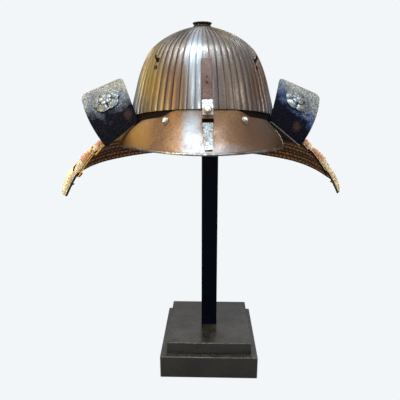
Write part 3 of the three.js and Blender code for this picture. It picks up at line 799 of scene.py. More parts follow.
def makeStrap():
    half, thick = strap["width"] / 2, strap["thick"]
    section = [  # round the strap's edge: across, lift, worn
        (half - 0.5, thick, 0.7), (half, thick - 0.5, 1), (half, 0.3, 0), (half - 0.3, 0, 0),
        (-half + 0.3, 0, 0),
        (-half, 0.3, 0), (-half, thick - 0.5, 1), (-half + 0.5, thick, 0.7), (-3, thick, 0), (3, thick, 0),
    ]  # fmt: skip

    def at(column, row):
        across, lift, worn = section[column % len(section)]
        low = smoothStep(row / 48, 0.6, 0.78)  # painted reflection: bright bare metal where it bends out and faces the light
        ends = max(1 - row / 1.5, 0) * 0.5
        return strapPoint(row, across, lift), max(worn * 0.6, low * 1.25, ends)

    bm = bendGrid(len(section), 48, at, join=True)
    closeEnds(bm)
    look = {
        "base": (0.15, 0.09, 0.07), "stain": (0.2, 0.13, 0.11), "fleck": (0.05, 0.03, 0.025),
        "bare": (0.66, 0.68, 0.69),
        "metal": 0.9, "rough": 0.3, "rubbing": 0.3, "stainSize": 0.02, "pitSize": 0.0012, "bump": 0.5,
        "flecks": 0.6,
    }  # fmt: skip
    return makePiece("brow_strap", bm, ironMaterial("strapIron", look), ["front_strap"])


strapPiece = makeStrap()
# near-black iron used as painted shade: in the strap's holes, and on the left fold edging
shadeBlackIron = ironMaterial("shadeBlackIron", {
    "base": (0.008, 0.007, 0.006), "stain": (0.004, 0.003, 0.003), "fleck": (0.02, 0.015, 0.01),
    "bare": (0.03, 0.025, 0.02),
    "metal": 0.3, "rough": 0.6, "rubbing": 0.0, "dust": 0.0,
})  # fmt: skip
holeHeights = (55.5, 48.5)


def drillStrap():
    drills = []
    for height in holeHeights:
        drill = bmesh.new()
        bmesh.ops.create_cone(drill, cap_ends=True, segments=20, radius1=1.2, radius2=1.2, depth=40)
        middle = Matrix.Translation((0, -bowl["halfLength"] * 0.85, height))
        turned = middle @ Matrix.Rotation(math.pi / 2, 4, "X")
        bmesh.ops.transform(drill, matrix=helmetPlace @ turned, verts=drill.verts)
        drills.append(drill)
    carve(strapPiece, drills)


def makeHoleShade():
    # black discs sit a little below the strap's face, in its two holes, as painted shade
    bm = bmesh.new()
    bm.verts.layers.float.new("worn")
    for height in holeHeights:
        row = min(range(49), key=lambda i: abs(strapPath[i].z - height))
        tangent = (strapPath[row + 1] - strapPath[row - 1]).normalized()
        out = Vector((0, tangent.z, -tangent.y))
        pin = bmesh.new()
        pin.verts.layers.float.new("worn")
        bmesh.ops.create_cone(pin, cap_ends=True, segments=16, radius1=1.1, radius2=1.1, depth=0.9)
        merge(bm, pin, lookAlong(strapPath[row] + out * 0.6, out))
    return makePiece("strap_hole_shade", bm, shadeBlackIron)


drillStrap()
makeHoleShade()

socket = {
    "topWidth": 15,
    "endWidth": 10.2,
    "topLift": 5.2,
    "endLift": 1.9,
    "wall": 1.2,
    "start": 0.36,
    "length": 0.92,
}


def makeSocket():
    rows = 20
    shape = [  # across as a share of the half width, lift as a share, worn
        (-1, 0, 0), (-1.0, 0.5, 0), (-0.98, 0.85, 0.3), (-0.88, 1, 0.8), (-0.45, 1.02, 0.35),
        (0, 1.03, 0.3), (0.45, 1.02, 0.35),
        (0.88, 1, 0.8), (0.98, 0.85, 0.3), (1.0, 0.5, 0), (1, 0, 0),
    ]  # fmt: skip
    ring = [(one, 0.0) for one in shape] + [
        (one, socket["wall"]) for one in reversed(shape)
    ] + [(shape[0], 0.0)]

    def at(column, row):
        (x, z, worn), inward = ring[-1 - column]
        share = 1 - row / rows
        half = mix(socket["topWidth"], socket["endWidth"], share) / 2 - inward
        top = mix(socket["topLift"], socket["endLift"], share) - inward
        down = mix(socket["start"], socket["length"], share)
        at = peakPoint(0.0001, down, mix(0.8, top, z))
        at.x = half * x
        return at, worn if not inward else 0.0

    bm = bendGrid(len(ring) - 1, rows, at, join=True)
    closeEnds(bm)
    look = {
        "base": (0.4, 0.41, 0.4), "stain": (0.27, 0.26, 0.24), "fleck": (0.05, 0.042, 0.035), "flecks": 0.85,
        "bare": (0.5, 0.51, 0.51), "metal": 0.95, "rough": 0.34, "rubbing": 0.3, "stainSize": 0.012,
        "pitSize": 0.0013,
        "pitDepth": 0.0004, "bump": 0.8,
    }  # fmt: skip
    return makePiece("crest_sleeve", bm, ironMaterial("brightIron", look), ["crest_socket"])


makeSocket()
rivetLook = {
    "base": (0.5, 0.45, 0.38), "stain": (0.34, 0.29, 0.23), "fleck": (0.14, 0.1, 0.07),
    "bare": (0.75, 0.72, 0.67),
    "metal": 0.93, "rough": 0.28, "rubbing": 0.4, "stainSize": 0.006, "pitSize": 0.0008, "bump": 0.4,
}  # fmt: skip
rivetIron = ironMaterial("rivetIron", rivetLook)


def domeRivet(radius, height):
    # a round head on a thin washer, spun from its side view
    bm = wornMesh()
    side = [(0.001, height)] + [
        (radius * math.sin(a * math.pi / 16), height * (0.12 + 0.88 * math.cos(a * math.pi / 16)))
        for a in range(1, 9)
    ]
    side += [(radius, 0.35), (radius * 1.16, 0.35), (radius * 1.2, 0.15), (radius * 1.2, 0)]
    verts = [bm.verts.new((x, 0, z)) for x, z in side]
    edges = [bm.edges.new(pair) for pair in zip(verts, verts[1:])]
    bmesh.ops.spin(
        bm, geom=verts + edges, cent=(0, 0, 0), axis=(0, 0, 1), angle=2 * math.pi, steps=28, use_merge=True
    )
    bmesh.ops.remove_doubles(bm, verts=bm.verts, dist=0.01)
    closeEnds(bm)
    worn = bm.verts.layers.float["worn"]
    for vert in bm.verts:
        vert[worn] = smoothStep(vert.co.z, height * 0.3, height)
    return bm


tangent = (strapPath[46] - strapPath[43]).normalized()
out = Vector((0, tangent.z, -tangent.y))
bm = domeRivet(5.4, 3.8)
bmesh.ops.transform(bm, matrix=lookAlong(strapPath[44] + out * (strap["thick"] + 0.35), out), verts=bm.verts)
makePiece("strap_rivet", bm, rivetIron, ["rivet_middle"])
for angle, name in ((-29, "left"), (27.5, "right")):
    across = angle / peak["endAngle"]
    at = peakPoint(across, 0.2, 0.01)
    out = (peakPoint(across, 0.2, 1) - at).normalized()
    bm = domeRivet(4.7, 3.8)
    bmesh.ops.transform(bm, matrix=lookAlong(at + out * 0.7, out), verts=bm.verts)
    makePiece("peak_rivet_" + name, bm, rivetIron, ["rivet_" + name])


def makeStud(number, degrees):
    # a small hooked stud on a washer, with a ring below it
    turn = (round(math.radians(degrees) / plateAngle) + 0.5) * plateAngle
    along = alongProfile(79)
    foot, out = bowlPoint(turn, along, 0.4), bowlNormal(turn, along)
    up = Vector((0, 0, 1)) - out * out.z
    up.normalize()
    route = [
        foot,
        foot + out * 2.5,
        foot + out * 4.6 + up * 0.6,
        foot + out * 5.6 + up * 2.4,
        foot + out * 5.4 + up * 4.4,
    ]
    path = evenPath(route, 16)
    bm = sweep(
        path, lambda row, a: ((2.0 - row * 0.085) * math.cos(a), (2.0 - row * 0.085) * math.sin(a)), 12
    )
    washer = domeRivet(3.0, 1.1)
    merge(bm, washer, lookAlong(foot, out))
    hole = bowlPoint(turn, along - 0.055, 0.5)
    holeOut = bowlNormal(turn, along - 0.055)
    place = lookAlong(hole, holeOut)
    turns = [i * math.pi / 10 for i in range(20)]
    ringPath = [place @ Vector((2.2 * math.cos(a), 2.2 * math.sin(a), 0.2)) for a in turns]
    merge(bm, roundTube(ringPath, 0.75, 8, ring=True))
    makePiece(
        "stud_" + str(number), bm, bpy.data.materials["bandIron"], ["bowl_stud_" + str(number)]
    )


for number, degrees in enumerate((40, 140, 220, 320), 1):
    makeStud(number, degrees)
print("fittings made")

# neck guard

guard = {
    "halfWidth": 107, "halfLength": 120.5, "attach": 9, "frontAngle": 114, "rimHalfWidth": 211.5,
    "rimRear": 255,
    "rimFront": 143, "bulge": 12.5, "frontBulge": 10, "wall": 2.0, "stepOut": 3.0,
}  # fmt: skip
guardRim = [(0, -88.5), (45, -93.5), (66, -96.5), (90, -111.5), (114, -115)]
lames = [  # top and bottom edge as shares of the slope from the bowl to the rim, and braids along it
    {"top": 0.0, "bottom": 0.365, "braids": 76},
    {"top": 0.325, "bottom": 0.51, "braids": 94},
    {"top": 0.47, "bottom": 0.785, "braids": 106},
    {"top": 0.745, "bottom": 1.0, "braids": 122},
]
lacing = {"thick": 2.8, "head": 0.022, "hem": 0.012}


def guardPoint(angle, share, lift=0.0):
    # angle from the nape, share of the slope from the bowl to the rim, lift off the surface
    turn = math.radians(angle) + math.pi / 2
    start = abs(angle)
    reach = guard["rimRear"] if start < 90 else guard["rimFront"]
    topHeight = edgeHeight(turn) - guard["attach"]
    top = Vector((guard["halfWidth"] * math.cos(turn), guard["halfLength"] * math.sin(turn), topHeight))
    height = sum(fromTable(guardRim, min(abs(start + shift), 114)) for shift in (-8, 0, 8)) / 3
    rim = Vector((guard["rimHalfWidth"] * math.cos(turn), reach * math.sin(turn), height))
    chord = rim - top
    level = math.hypot(chord.x, chord.y)
    out = Vector((-chord.x * chord.z, -chord.y * chord.z, level * level)).normalized()
    bulge = mix(guard["bulge"], guard["frontBulge"], smoothStep(start, 80, guard["frontAngle"]))
    arch = 4 * bulge * share * (1 - share)
    lean = 4 * bulge * (1 - 2 * share) / chord.length
    normal = (out - chord.normalized() * lean).normalized()
    return top + chord * share + out * arch + normal * lift


def lacquer(name, look):
    material, nodes, shader, place = newMaterial(name)
    cloud = nodes.spread(nodes.noise(place, 42.0, 6.0, 0.65, 0.3), 0.36, 0.66)
    fine = nodes.noise(place, 420.0, 5.0, 0.7)
    colour = nodes.blend(cloud, look["base"], look["shade"])
    colour = nodes.blend(nodes.spread(fine, 0.56, 0.7, 0.0, 0.6), colour, look["chip"])
    worn = nodes.worn()
    if "shadedSide" in look:  # painted shade: darker towards the helmet's left side, which lies in shadow
        aside = nodes.add("ShaderNodeSeparateXYZ", {0: place}).outputs[0]
        colour = nodes.blend(nodes.spread(aside, -0.06, 0.06, 0.0, 1.0), colour, look["shadedSide"])
    edge = nodes.spread(nodes.calc("ADD", worn, nodes.calc("MULTIPLY", fine, 0.7)), 1.05, 1.35)
    colour = nodes.blend(edge, colour, look["edge"])
    nodes.feed(shader.inputs["Base Color"], colour)
    nodes.feed(
        shader.inputs["Metallic"],
        nodes.calc("MULTIPLY", nodes.calc("SUBTRACT", 1.0, cloud), look.get("metal", 0.0)),
    )
    nodes.feed(shader.inputs["Roughness"], nodes.calc("MULTIPLY_ADD", fine, 0.3, look["rough"]))
    shader.inputs["Specular IOR Level"].default_value = look.get("gloss", 0.5)
    shader.inputs["Coat Weight"].default_value = look.get("coat", 0.3)
    shader.inputs["Coat Roughness"].default_value = 0.25
    bumpOn(nodes, shader, nodes.calc("ADD", fine, cloud), 0.00025, 0.5)
    return material


# the gold lacquer carries painted shade towards the helmet's left side
goldLacquer = lacquer("goldLacquer", {
    "base": (0.66, 0.32, 0.05), "shade": (0.4, 0.17, 0.03), "chip": (0.12, 0.05, 0.02),
    "edge": (0.6, 0.42, 0.2),
    "shadedSide": (0.006, 0.003, 0.002), "rough": 0.5, "metal": 0.0, "coat": 0.0, "gloss": 0.05,
})  # fmt: skip
# the lacquer darkened as painted shade, for the lower lames deep inside the guard
shadedLacquer = lacquer("shadedLacquer", {
    "base": (0.11, 0.032, 0.006), "shade": (0.035, 0.01, 0.004), "chip": (0.2, 0.07, 0.015),
    "edge": (0.012, 0.009, 0.008),
    "rough": 0.5, "coat": 0.0, "gloss": 0.12,
})  # fmt: skip


def makeLame(index):
    lame = lames[index]
    columns = 152
    lift = index * guard["stepOut"]
    half = guard["wall"] / 2
    shares = [0, 0.02, 0.06] + [mix(0.12, 0.93, i / 7) for i in range(8)] + [0.97, 0.99, 1]
    outer = [(1 - s, half * (1 if 0.02 < s < 0.99 else 0.45)) for s in reversed(shares)]
    rows = [(s, h) for s, h in outer] + [(s, -h) for s, h in reversed(outer)] + [outer[0]]

    def at(column, row):
        s, h = rows[row]
        share = mix(lame["bottom"], lame["top"], s)
        angle = mix(-guard["frontAngle"], guard["frontAngle"], column / columns)
        worn = max(1 - smoothStep(s, 0.0, 0.06), smoothStep(s, 0.95, 1.0), smoothStep(abs(angle), 112.5, 114))
        return guardPoint(angle, share, lift + half + h), worn

    bm = bendGrid(columns, len(rows) - 1, at, join=True)
    closeEnds(bm)
    # the two lower lames take the darkened lacquer, as painted shade
    material = goldLacquer if index < 2 else shadedLacquer
    name = "neck_lame_" + str(index + 1)
    return makePiece("plate_" + name, bm, material, [name])


for index in range(4):
    makeLame(index)
print("lames made")


def silk(name, look):
    material, nodes, shader, place = newMaterial(name)
    uv = nodes.add("ShaderNodeUVMap", uv_map="UVMap").outputs[0]
    braid = nodes.add(
        "ShaderNodeGroup", {"Vector": uv, "Strands": look.get("strands", 3.0)}, node_tree=braidGroup
    ).outputs
    fade = nodes.spread(nodes.noise(place, 26.0, 5.0, 0.6), 0.36, 0.64)
    colour = nodes.blend(fade, look["base"], look["faded"])
    tint = nodes.spread(nodes.noise(place, 120.0, 3.0, 0.6), 0.55, 0.72, 0.0, look.get("stains", 0.5))
    colour = nodes.blend(tint, colour, look["stain"])
    if "dyedAndShaded" in look:  # the worn value carries the orange share of a braid in two colours, which is partly painted shade
        dyeAndShade = nodes.worn()
        patch = nodes.calc(
            "ADD",
            dyeAndShade,
            nodes.calc("MULTIPLY", nodes.calc("SUBTRACT", nodes.noise(place, 210.0, 4.0, 0.7), 0.5), 1.4),
        )
        colour = nodes.blend(nodes.spread(patch, 0.3, 0.75), colour, look["dyedAndShaded"])
    if "speck" in look:
        specks = nodes.spread(nodes.noise(place, 520.0, 3.0, 0.8), 0.56, 0.66, 0.0, look.get("specks", 0.7))
        colour = nodes.blend(specks, colour, look["speck"])
    gap = nodes.calc("SUBTRACT", 1.0, braid["Strand"])
    shade = nodes.calc(
        "ADD", nodes.calc("MULTIPLY", gap, 0.55), nodes.calc("MULTIPLY", braid["Seam"], 0.45), clamp=True
    )
    colour = nodes.blend(shade, colour, look["shade"])
    colour = nodes.blend(nodes.calc("MULTIPLY", braid["Thread"], 0.2), colour, look["faded"])
    nodes.feed(shader.inputs["Base Color"], colour)
    nodes.feed(shader.inputs["Roughness"], nodes.calc("MULTIPLY_ADD", gap, 0.2, 0.55))
    shader.inputs["Sheen Weight"].default_value = 0.35
    shader.inputs["Sheen Roughness"].default_value = 0.4
    height = nodes.calc(
        "MULTIPLY_ADD", braid["Thread"], 0.12, nodes.calc("SUBTRACT", braid["Strand"], braid["Seam"])
    )
    bumpOn(nodes, shader, height, 0.0006, 0.8)
    return material


creamSilk = silk("creamSilk", {
    "base": (0.92, 0.76, 0.4), "faded": (0.96, 0.87, 0.58), "stain": (0.7, 0.36, 0.12),
    "shade": (0.4, 0.22, 0.075),
    "stains": 0.35, "speck": (0.3, 0.17, 0.06), "specks": 0.3,
})  # fmt: skip
orangeSilk = silk("orangeSilk", {
    "base": (0.85, 0.27, 0.035), "faded": (0.95, 0.42, 0.09), "stain": (0.42, 0.1, 0.015),
    "shade": (0.09, 0.022, 0.006),
    "strands": 1.5, "speck": (0.06, 0.02, 0.01), "specks": 0.6,
})  # fmt: skip


def makeLacing(index):
    # flat braids side by side down one lame, each puffed between its two ends
    lame, braids = lames[index], lames[index]["braids"]
    across = [0.0, 0.08, 0.26, 0.5, 0.74, 0.92]
    puff = [0.1, 0.66, 0.95, 1.0, 0.95, 0.66]
    last = index == len(lames) - 1
    bottom = (lame["bottom"] if last else lames[index + 1]["top"]) - lacing["hem"]
    top = lame["top"] + lacing["head"]
    rows = 14
    foot = index * guard["stepOut"] + guard["wall"] + 0.35
    slack = [
        (dice.uniform(-0.35, 0.1), dice.uniform(-0.12, 0.12), dice.uniform(-0.25, 0.25))
        for _ in range(braids + 1)
    ]

    def at(column, row):
        number, part = divmod(column, len(across))
        dip, shift, bow = slack[number]
        if column == braids * len(across):
            number, part, dip, shift, bow = braids, 0, 0, 0, 0
        along = row / rows
        share = mix(bottom, top, along)
        ends = math.sin(math.pi * min(max(along, 0.0), 1.0)) ** 0.28 if 0 < row < rows else 0.0
        place = (number + across[part] + (shift * ends if part else 0)) / braids
        angle = mix(-guard["frontAngle"] + 0.4, guard["frontAngle"] - 0.4, place)
        full = lacing["thick"] * mix(0.55, 1, smoothStep(along, 0, 0.6)) if last else lacing["thick"]
        lift = foot + (full + dip + bow * math.cos(math.pi * along)) * puff[part] * ends
        return guardPoint(angle, share, lift)

    bm = bendGrid(braids * len(across), rows, at)
    uv = bm.loops.layers.uv.active
    length = abs(bottom - top) * 154 / 7
    for face in bm.faces:
        for loop in face.loops:
            loop[uv].uv = (loop[uv].uv.x / len(across), loop[uv].uv.y / rows * length)
    name = "lacing_" + str(index + 1)
    return makePiece("silk_" + name, bm, creamSilk, [name], angle=80)


for index in range(4):
    makeLacing(index)
print("lacing made")


edgeBraid = {
    "strand": 2.3, "across": 2.8, "proud": 2.0, "pitch": 15, "inset": 4.8, "lift": 3.4,
    "fullness": [1.0, 1.15, 1.2, 0.85],  # on each lame
}  # fmt: skip
twoToneAndShadeSilk = silk("twoToneAndShadeSilk", {
    "base": (1.0, 0.76, 0.38), "faded": (1.0, 0.88, 0.55), "stain": (0.85, 0.38, 0.13),
    "shade": (0.7, 0.36, 0.13),
    "dyedAndShaded": (0.72, 0.2, 0.05), "stains": 0.25, "strands": 1.0, "speck": (0.5, 0.22, 0.07), "specks": 0.12,
})  # fmt: skip


def dyeAndShadeAt(index, along):
    # the braid starts orange under each lame and fades to cream: partly its two colours, partly painted shade
    # under the lame above
    return (1 - smoothStep(along, 0.35, 0.8)) * (0.9 if index in (1, 2) else 0.45)


def makeEdgeBraid(side):
    # a bulky plait of three strands along the front edge of each lame
    bm = wornMesh()
    for index, lame in enumerate(lames):
        top, bottom = lame["top"] + (0.2 if index == 0 else 0.012), lame["bottom"] - 0.002
        foot = index * guard["stepOut"] + guard["wall"] + 0.3
        full = edgeBraid["fullness"][index]
        length = (guardPoint(114, top) - guardPoint(114, bottom)).length
        count = max(int(length / 1.6), 12)
        for strand in range(3):
            path, girth = [], []
            for i in range(count):
                along = i / (count - 1)
                share = mix(top, bottom, along)
                degree = (guardPoint(114, share) - guardPoint(113, share)).length
                phase = 2 * math.pi * (along * length / edgeBraid["pitch"] + strand / 3)
                ends = full * math.sin(math.pi * min(max(along, 0.02), 0.98)) ** 0.3
                if index == 3:
                    ends *= mix(1.1, 0.5, along)
                across = edgeBraid["inset"] + edgeBraid["across"] * math.sin(phase)
                lift = foot + (edgeBraid["lift"] + edgeBraid["proud"] * math.sin(2 * phase)) * ends
                path.append(guardPoint(side * (guard["frontAngle"] - across / degree), share, lift))
                girth.append(edgeBraid["strand"] * ends * dice.uniform(0.82, 1.16))

            def section(row, angle, girth=girth):
                return girth[row] * math.cos(angle), girth[row] * math.sin(angle)

            piece = sweep(path, section, 8)
            worn = piece.verts.layers.float["worn"]
            for vert in piece.verts:
                row = min(range(count), key=lambda i: (path[i] - vert.co).length_squared)
                vert[worn] = dyeAndShadeAt(index, row / (count - 1))
            merge(bm, piece)
        for _ in range(int(length / 4)):  # knots and loose turns of cord
            along = dice.uniform(0.03, 0.97)
            share = mix(top, bottom, along)
            lift = foot + dice.uniform(1.8, 5.6) * full * (mix(1, 0.35, along) if index == 3 else 1)
            at = guardPoint(side * (guard["frontAngle"] - dice.uniform(0.3, 3.2)), share, lift)
            out = guardPoint(side * 114, share, 1) - guardPoint(side * 114, share)
            knot = bmesh.new()
            knot.verts.layers.float.new("worn")
            bmesh.ops.create_uvsphere(knot, u_segments=8, v_segments=5, radius=1)
            worn = knot.verts.layers.float["worn"]
            for vert in knot.verts:
                vert[worn] = 1.0 if dice.random() < dyeAndShadeAt(index, along) + 0.25 else 0.1
            size = Matrix.Diagonal(
                (dice.uniform(1.3, 2.4), dice.uniform(1.2, 2.0), dice.uniform(1.2, 1.8), 1)
            )
            merge(bm, knot, lookAlong(at, out) @ Matrix.Rotation(dice.uniform(0, 3), 4, "Z") @ size)
    name = "edge_braid_left" if side > 0 else "edge_braid_right"
    return makePiece(name, bm, twoToneAndShadeSilk, angle=80)


makeEdgeBraid(1)
makeEdgeBraid(-1)

innerRows = [  # the lame a row of loops runs along, and its share of the slope
    (2, 0.6), (2, 0.68), (3, 0.79), (3, 0.865), (3, 0.94),
]  # fmt: skip


def makeInnerStitches():
    # the backs of the lacing: rows of short silk loops inside the lower lames
    bm = wornMesh()
    for index, share in innerRows:
        lift = index * guard["stepOut"] - 0.3
        around = sum((guardPoint(a, share) - guardPoint(a + 4, share)).length for a in range(-112, 112, 4))
        count = int(around / 9.4)
        for i in range(count):
            angle = mix(-guard["frontAngle"] + 2.5, guard["frontAngle"] - 2.5, (i + 0.5) / count)
            at = guardPoint(angle, share, lift)
            out = at - guardPoint(angle, share, lift + 1)
            down = (guardPoint(angle, share + 0.01, lift) - at).normalized()
            bead = bmesh.new()
            bmesh.ops.create_uvsphere(bead, u_segments=8, v_segments=6, radius=1)
            size = Matrix.Diagonal((3.9 + dice.uniform(-0.4, 0.4), 3.1 + dice.uniform(-0.4, 0.4), 2.1, 1))
            merge(bm, bead, lookAlong(at, out, down) @ size)
    return makePiece("inner_stitches", bm, orangeSilk, angle=80)


makeInnerStitches()


def makeSideKnots():
    # dark toggles that hold the lacing's ends on the inside of the front edges
    def knotSection(row, angle):
        return 1.5 * math.cos(angle), (1.1 + 0.4 * math.sin(row * 2)) * math.sin(angle)

    bm = wornMesh()
    for side in (-1, 1):
        for index, share, length in ((2, 0.73, 7), (3, 0.86, 2.5)):
            lift = index * guard["stepOut"] - 0.8
            path = [
                guardPoint(side * 113.4, share + i * length / 154 / 8, lift - 0.5 * math.sin(i * 0.8))
                for i in range(9)
            ]
            merge(bm, sweep(path, knotSection, 10))
    return makePiece("side_knots", bm, darkSilk, angle=80)


darkSilk = silk("darkSilk", {
    "base": (0.09, 0.035, 0.02), "faded": (0.16, 0.07, 0.035), "stain": (0.03, 0.012, 0.008),
    "shade": (0.02, 0.008, 0.005),
})  # fmt: skip
makeSideKnots()


def makeEdgeLines():
    # thin gilt edging on the front edges of all lames but the lowest
    bm = wornMesh()
    for side in (-1, 1):
        for index, lame in enumerate(lames[:3]):
            lift = index * guard["stepOut"] + guard["wall"] / 2
            ends = (lame["top"] + 0.03, lame["bottom"] - 0.004)
            path = [guardPoint(side * guard["frontAngle"], mix(*ends, i / 11), lift) for i in range(12)]
            merge(bm, roundTube(path, 0.95, 8))
    return makePiece("lame_edging", bm, goldLacquer)


makeEdgeLines()
print("silk details made")

# turned-back plates and their flowers

turnback = {
    "innerLow": (-93.5, -62, -2), "outerLow": (-139.8, -62, -38.4), "outerHigh": (-185.5, 4, 33.7),
    "innerHigh": (-123.2, 15, 60.9), "wall": 2.2, "bulge": 11, "bow": 4.2, "innerBow": 1.2, "corner": 0.11,
}  # fmt: skip


def cornerOf(name):
    return Vector(turnback[name])


def platePoint(across, up, lift=0.0):
    # across 0 at the bowl side to 1 outside, up 0 at the fold to 1 at the top edge
    low = cornerOf("innerLow").lerp(cornerOf("outerLow"), across)
    high = cornerOf("innerHigh").lerp(cornerOf("outerHigh"), across)
    middle = low.lerp(high, 0.5) + Vector((-0.25, -0.9, 0.35)) * turnback["bulge"]
    side = (cornerOf("outerLow") - cornerOf("innerLow")).lerp(
        cornerOf("outerHigh") - cornerOf("innerHigh"), up
    )
    at = low.lerp(middle, up).lerp(middle.lerp(high, up), up)
    sway = turnback["bow"] * across * across - turnback["innerBow"] * (1 - across) ** 2
    at += side.normalized() * (4 * up * (1 - up) * sway)
    tangent = middle.lerp(high, up) - low.lerp(middle, up)
    return at + tangent.cross(side).normalized() * lift


def roundedPlace(across, up):
    # pulls a square's two upper corners in to a round
    r = turnback["corner"]
    for edge in (0, 1):
        x = (across - (1 - r)) / r if edge else ((r - across) / r)
        y = (up - (1 - r)) / r
        if x > 0 and y > 0:
            dx, dy = x * math.sqrt(1 - y * y / 2), y * math.sqrt(1 - x * x / 2)
            across = (1 - r) + dx * r if edge else r - dx * r
            up = (1 - r) + dy * r
            break
    return across, up


leatherBlue = {-1: (0.035, 0.045, 0.075), 1: (0.03, 0.07, 0.19)}  # of each plate's middle
leatherLean = {-1: -0.12, 1: 0.25}  # how much paler each plate is towards its outer side
rubbedPatch = {-1: (0.16, 0.2, 0.0), 1: (0.68, 0.22, 0.0)}  # where each plate is rubbed brown


def leatherMaterial(name, side):
    # worn grained leather: pale above, blue-black below, with a rubbed brown patch near the fold; pale grey
    # mottling above is partly a painted sheen
    material, nodes, shader, place = newMaterial(name)
    uv = nodes.add("ShaderNodeUVMap", uv_map="UVMap").outputs[0]
    grain = nodes.add("ShaderNodeGroup", {"Vector": place, "Pebble": 0.0034}, node_tree=grainGroup).outputs
    parts = nodes.add("ShaderNodeSeparateXYZ", {0: uv})
    lean = nodes.sway(parts.outputs[0], leatherLean[side])
    height = nodes.calc("ADD", parts.outputs[1], nodes.sway(grain["Blotch"], 0.26))
    height = nodes.calc("ADD", height, lean)
    colour = nodes.blend(nodes.spread(height, 0.3, 0.5), (0.002, 0.002, 0.006), leatherBlue[side])
    colour = nodes.blend(nodes.spread(height, 0.48, 0.66), colour, (0.17, 0.19, 0.22))
    colour = nodes.blend(nodes.spread(height, 0.68, 0.9), colour, (0.42, 0.38, 0.31))
    mottle = nodes.noise(place, 330.0, 5.0, 0.72)
    colour = nodes.blend(
        nodes.spread(mottle, 0.5, 0.64, 0.0, 0.95), colour, nodes.blend(0.75, colour, (0.01, 0.01, 0.012))
    )
    # pale grey mottling over the upper part: partly the leather's own mottle, partly a painted sheen
    light = nodes.calc(
        "MULTIPLY", nodes.spread(mottle, 0.34, 0.48, 0.7, 0.0), nodes.spread(height, 0.35, 0.6)
    )
    colour = nodes.blend(light, colour, nodes.blend(0.5, colour, (0.75, 0.76, 0.74)))
    colour = nodes.blend(nodes.calc("MULTIPLY", grain["Crease"], 0.7), colour, (0.01, 0.01, 0.013))
    patch = nodes.add(
        "ShaderNodeVectorMath", {0: uv, 1: rubbedPatch[side]}, operation="DISTANCE"
    ).outputs["Value"]
    patch = nodes.calc("ADD", patch, nodes.sway(mottle, 0.25))
    colour = nodes.blend(nodes.spread(patch, 0.03, 0.13, 0.35, 0.0), colour, (0.12, 0.055, 0.035))
    worn = nodes.worn()
    edge = nodes.spread(
        nodes.calc("ADD", worn, nodes.calc("MULTIPLY", grain["Blotch"], 0.3)), 0.8, 1.2, 0.0, 0.5
    )
    edge = nodes.calc("MULTIPLY", edge, nodes.spread(height, 0.3, 0.8))
    colour = nodes.blend(edge, colour, (0.36, 0.3, 0.22))
    nodes.feed(shader.inputs["Base Color"], colour)
    nodes.feed(shader.inputs["Roughness"], nodes.calc("MULTIPLY_ADD", mottle, 0.35, 0.28))
    nodes.feed(shader.inputs["Specular IOR Level"], nodes.spread(height, 0.3, 0.8, 0.02, 0.7))
    nodes.feed(shader.inputs["Coat Weight"], nodes.spread(height, 0.35, 0.7, 0.0, 0.25))
    shader.inputs["Coat Roughness"].default_value = 0.35
    raised = nodes.calc("SUBTRACT", grain["Height"], nodes.calc("MULTIPLY", mottle, 1.1))
    bumpOn(nodes, shader, raised, 0.0012, 1.0)
    return material


def makeTurnback(side):
    # the same steps lead across the plate and up it
    steps = [0, 0.02, 0.06] + [mix(0.1, 0.9, i / 27) for i in range(28)] + [0.94, 0.98, 1]
    half = turnback["wall"] / 2
    rows = bothSides(steps)

    def at(column, row):
        up, outside = rows[row]
        a, u = roundedPlace(steps[column], up)
        edge = max(smoothStep(up, 0.95, 1), smoothStep(abs(steps[column] - 0.5), 0.47, 0.5)) * 0.8
        lift = half * (1 if 0 < up < 1 else 0.5) * (1 if outside else -1)
        return platePoint(a, u, lift), edge

    bm = bendGrid(len(steps) - 1, len(rows) - 1, at)
    uv = bm.loops.layers.uv.active
    for face in bm.faces:
        for loop in face.loops:
            v = loop[uv].uv.y
            step = min(round(v), len(steps) - 1) if v < len(steps) else max(2 * len(steps) - 1 - round(v), 0)
            up = steps[step]
            loop[uv].uv = (loop[uv].uv.x / (len(steps) - 1), up)
    bmesh.ops.remove_doubles(bm, verts=bm.verts, dist=0.002)
    closeEnds(bm)
    name = "turnback_left" if side < 0 else "turnback_right"
    if side > 0:
        bmesh.ops.scale(bm, vec=(-1, 1, 1), verts=bm.verts)
    makePiece("plate_" + name, bm, leatherMaterial("leather_" + name, side), [name])
    edging = roundTube([platePoint(mix(0.06, 0.985, i / 20), 0.0, 0.0) for i in range(21)], 0.6, 8)
    if side > 0:
        bmesh.ops.scale(edging, vec=(-1, 1, 1), verts=edging.verts)
    # the same edging on both plates: bright rivet iron on the right, and near-black iron on the left as
    # painted shade
    makePiece("fold_edging_" + name[9:], edging, rivetIron if side > 0 else shadeBlackIron)


flower = {"radius": 20.5, "dome": 6.4, "petals": 5, "dip": 0.16, "across": 0.5, "up": 0.63, "clear": 0.9}


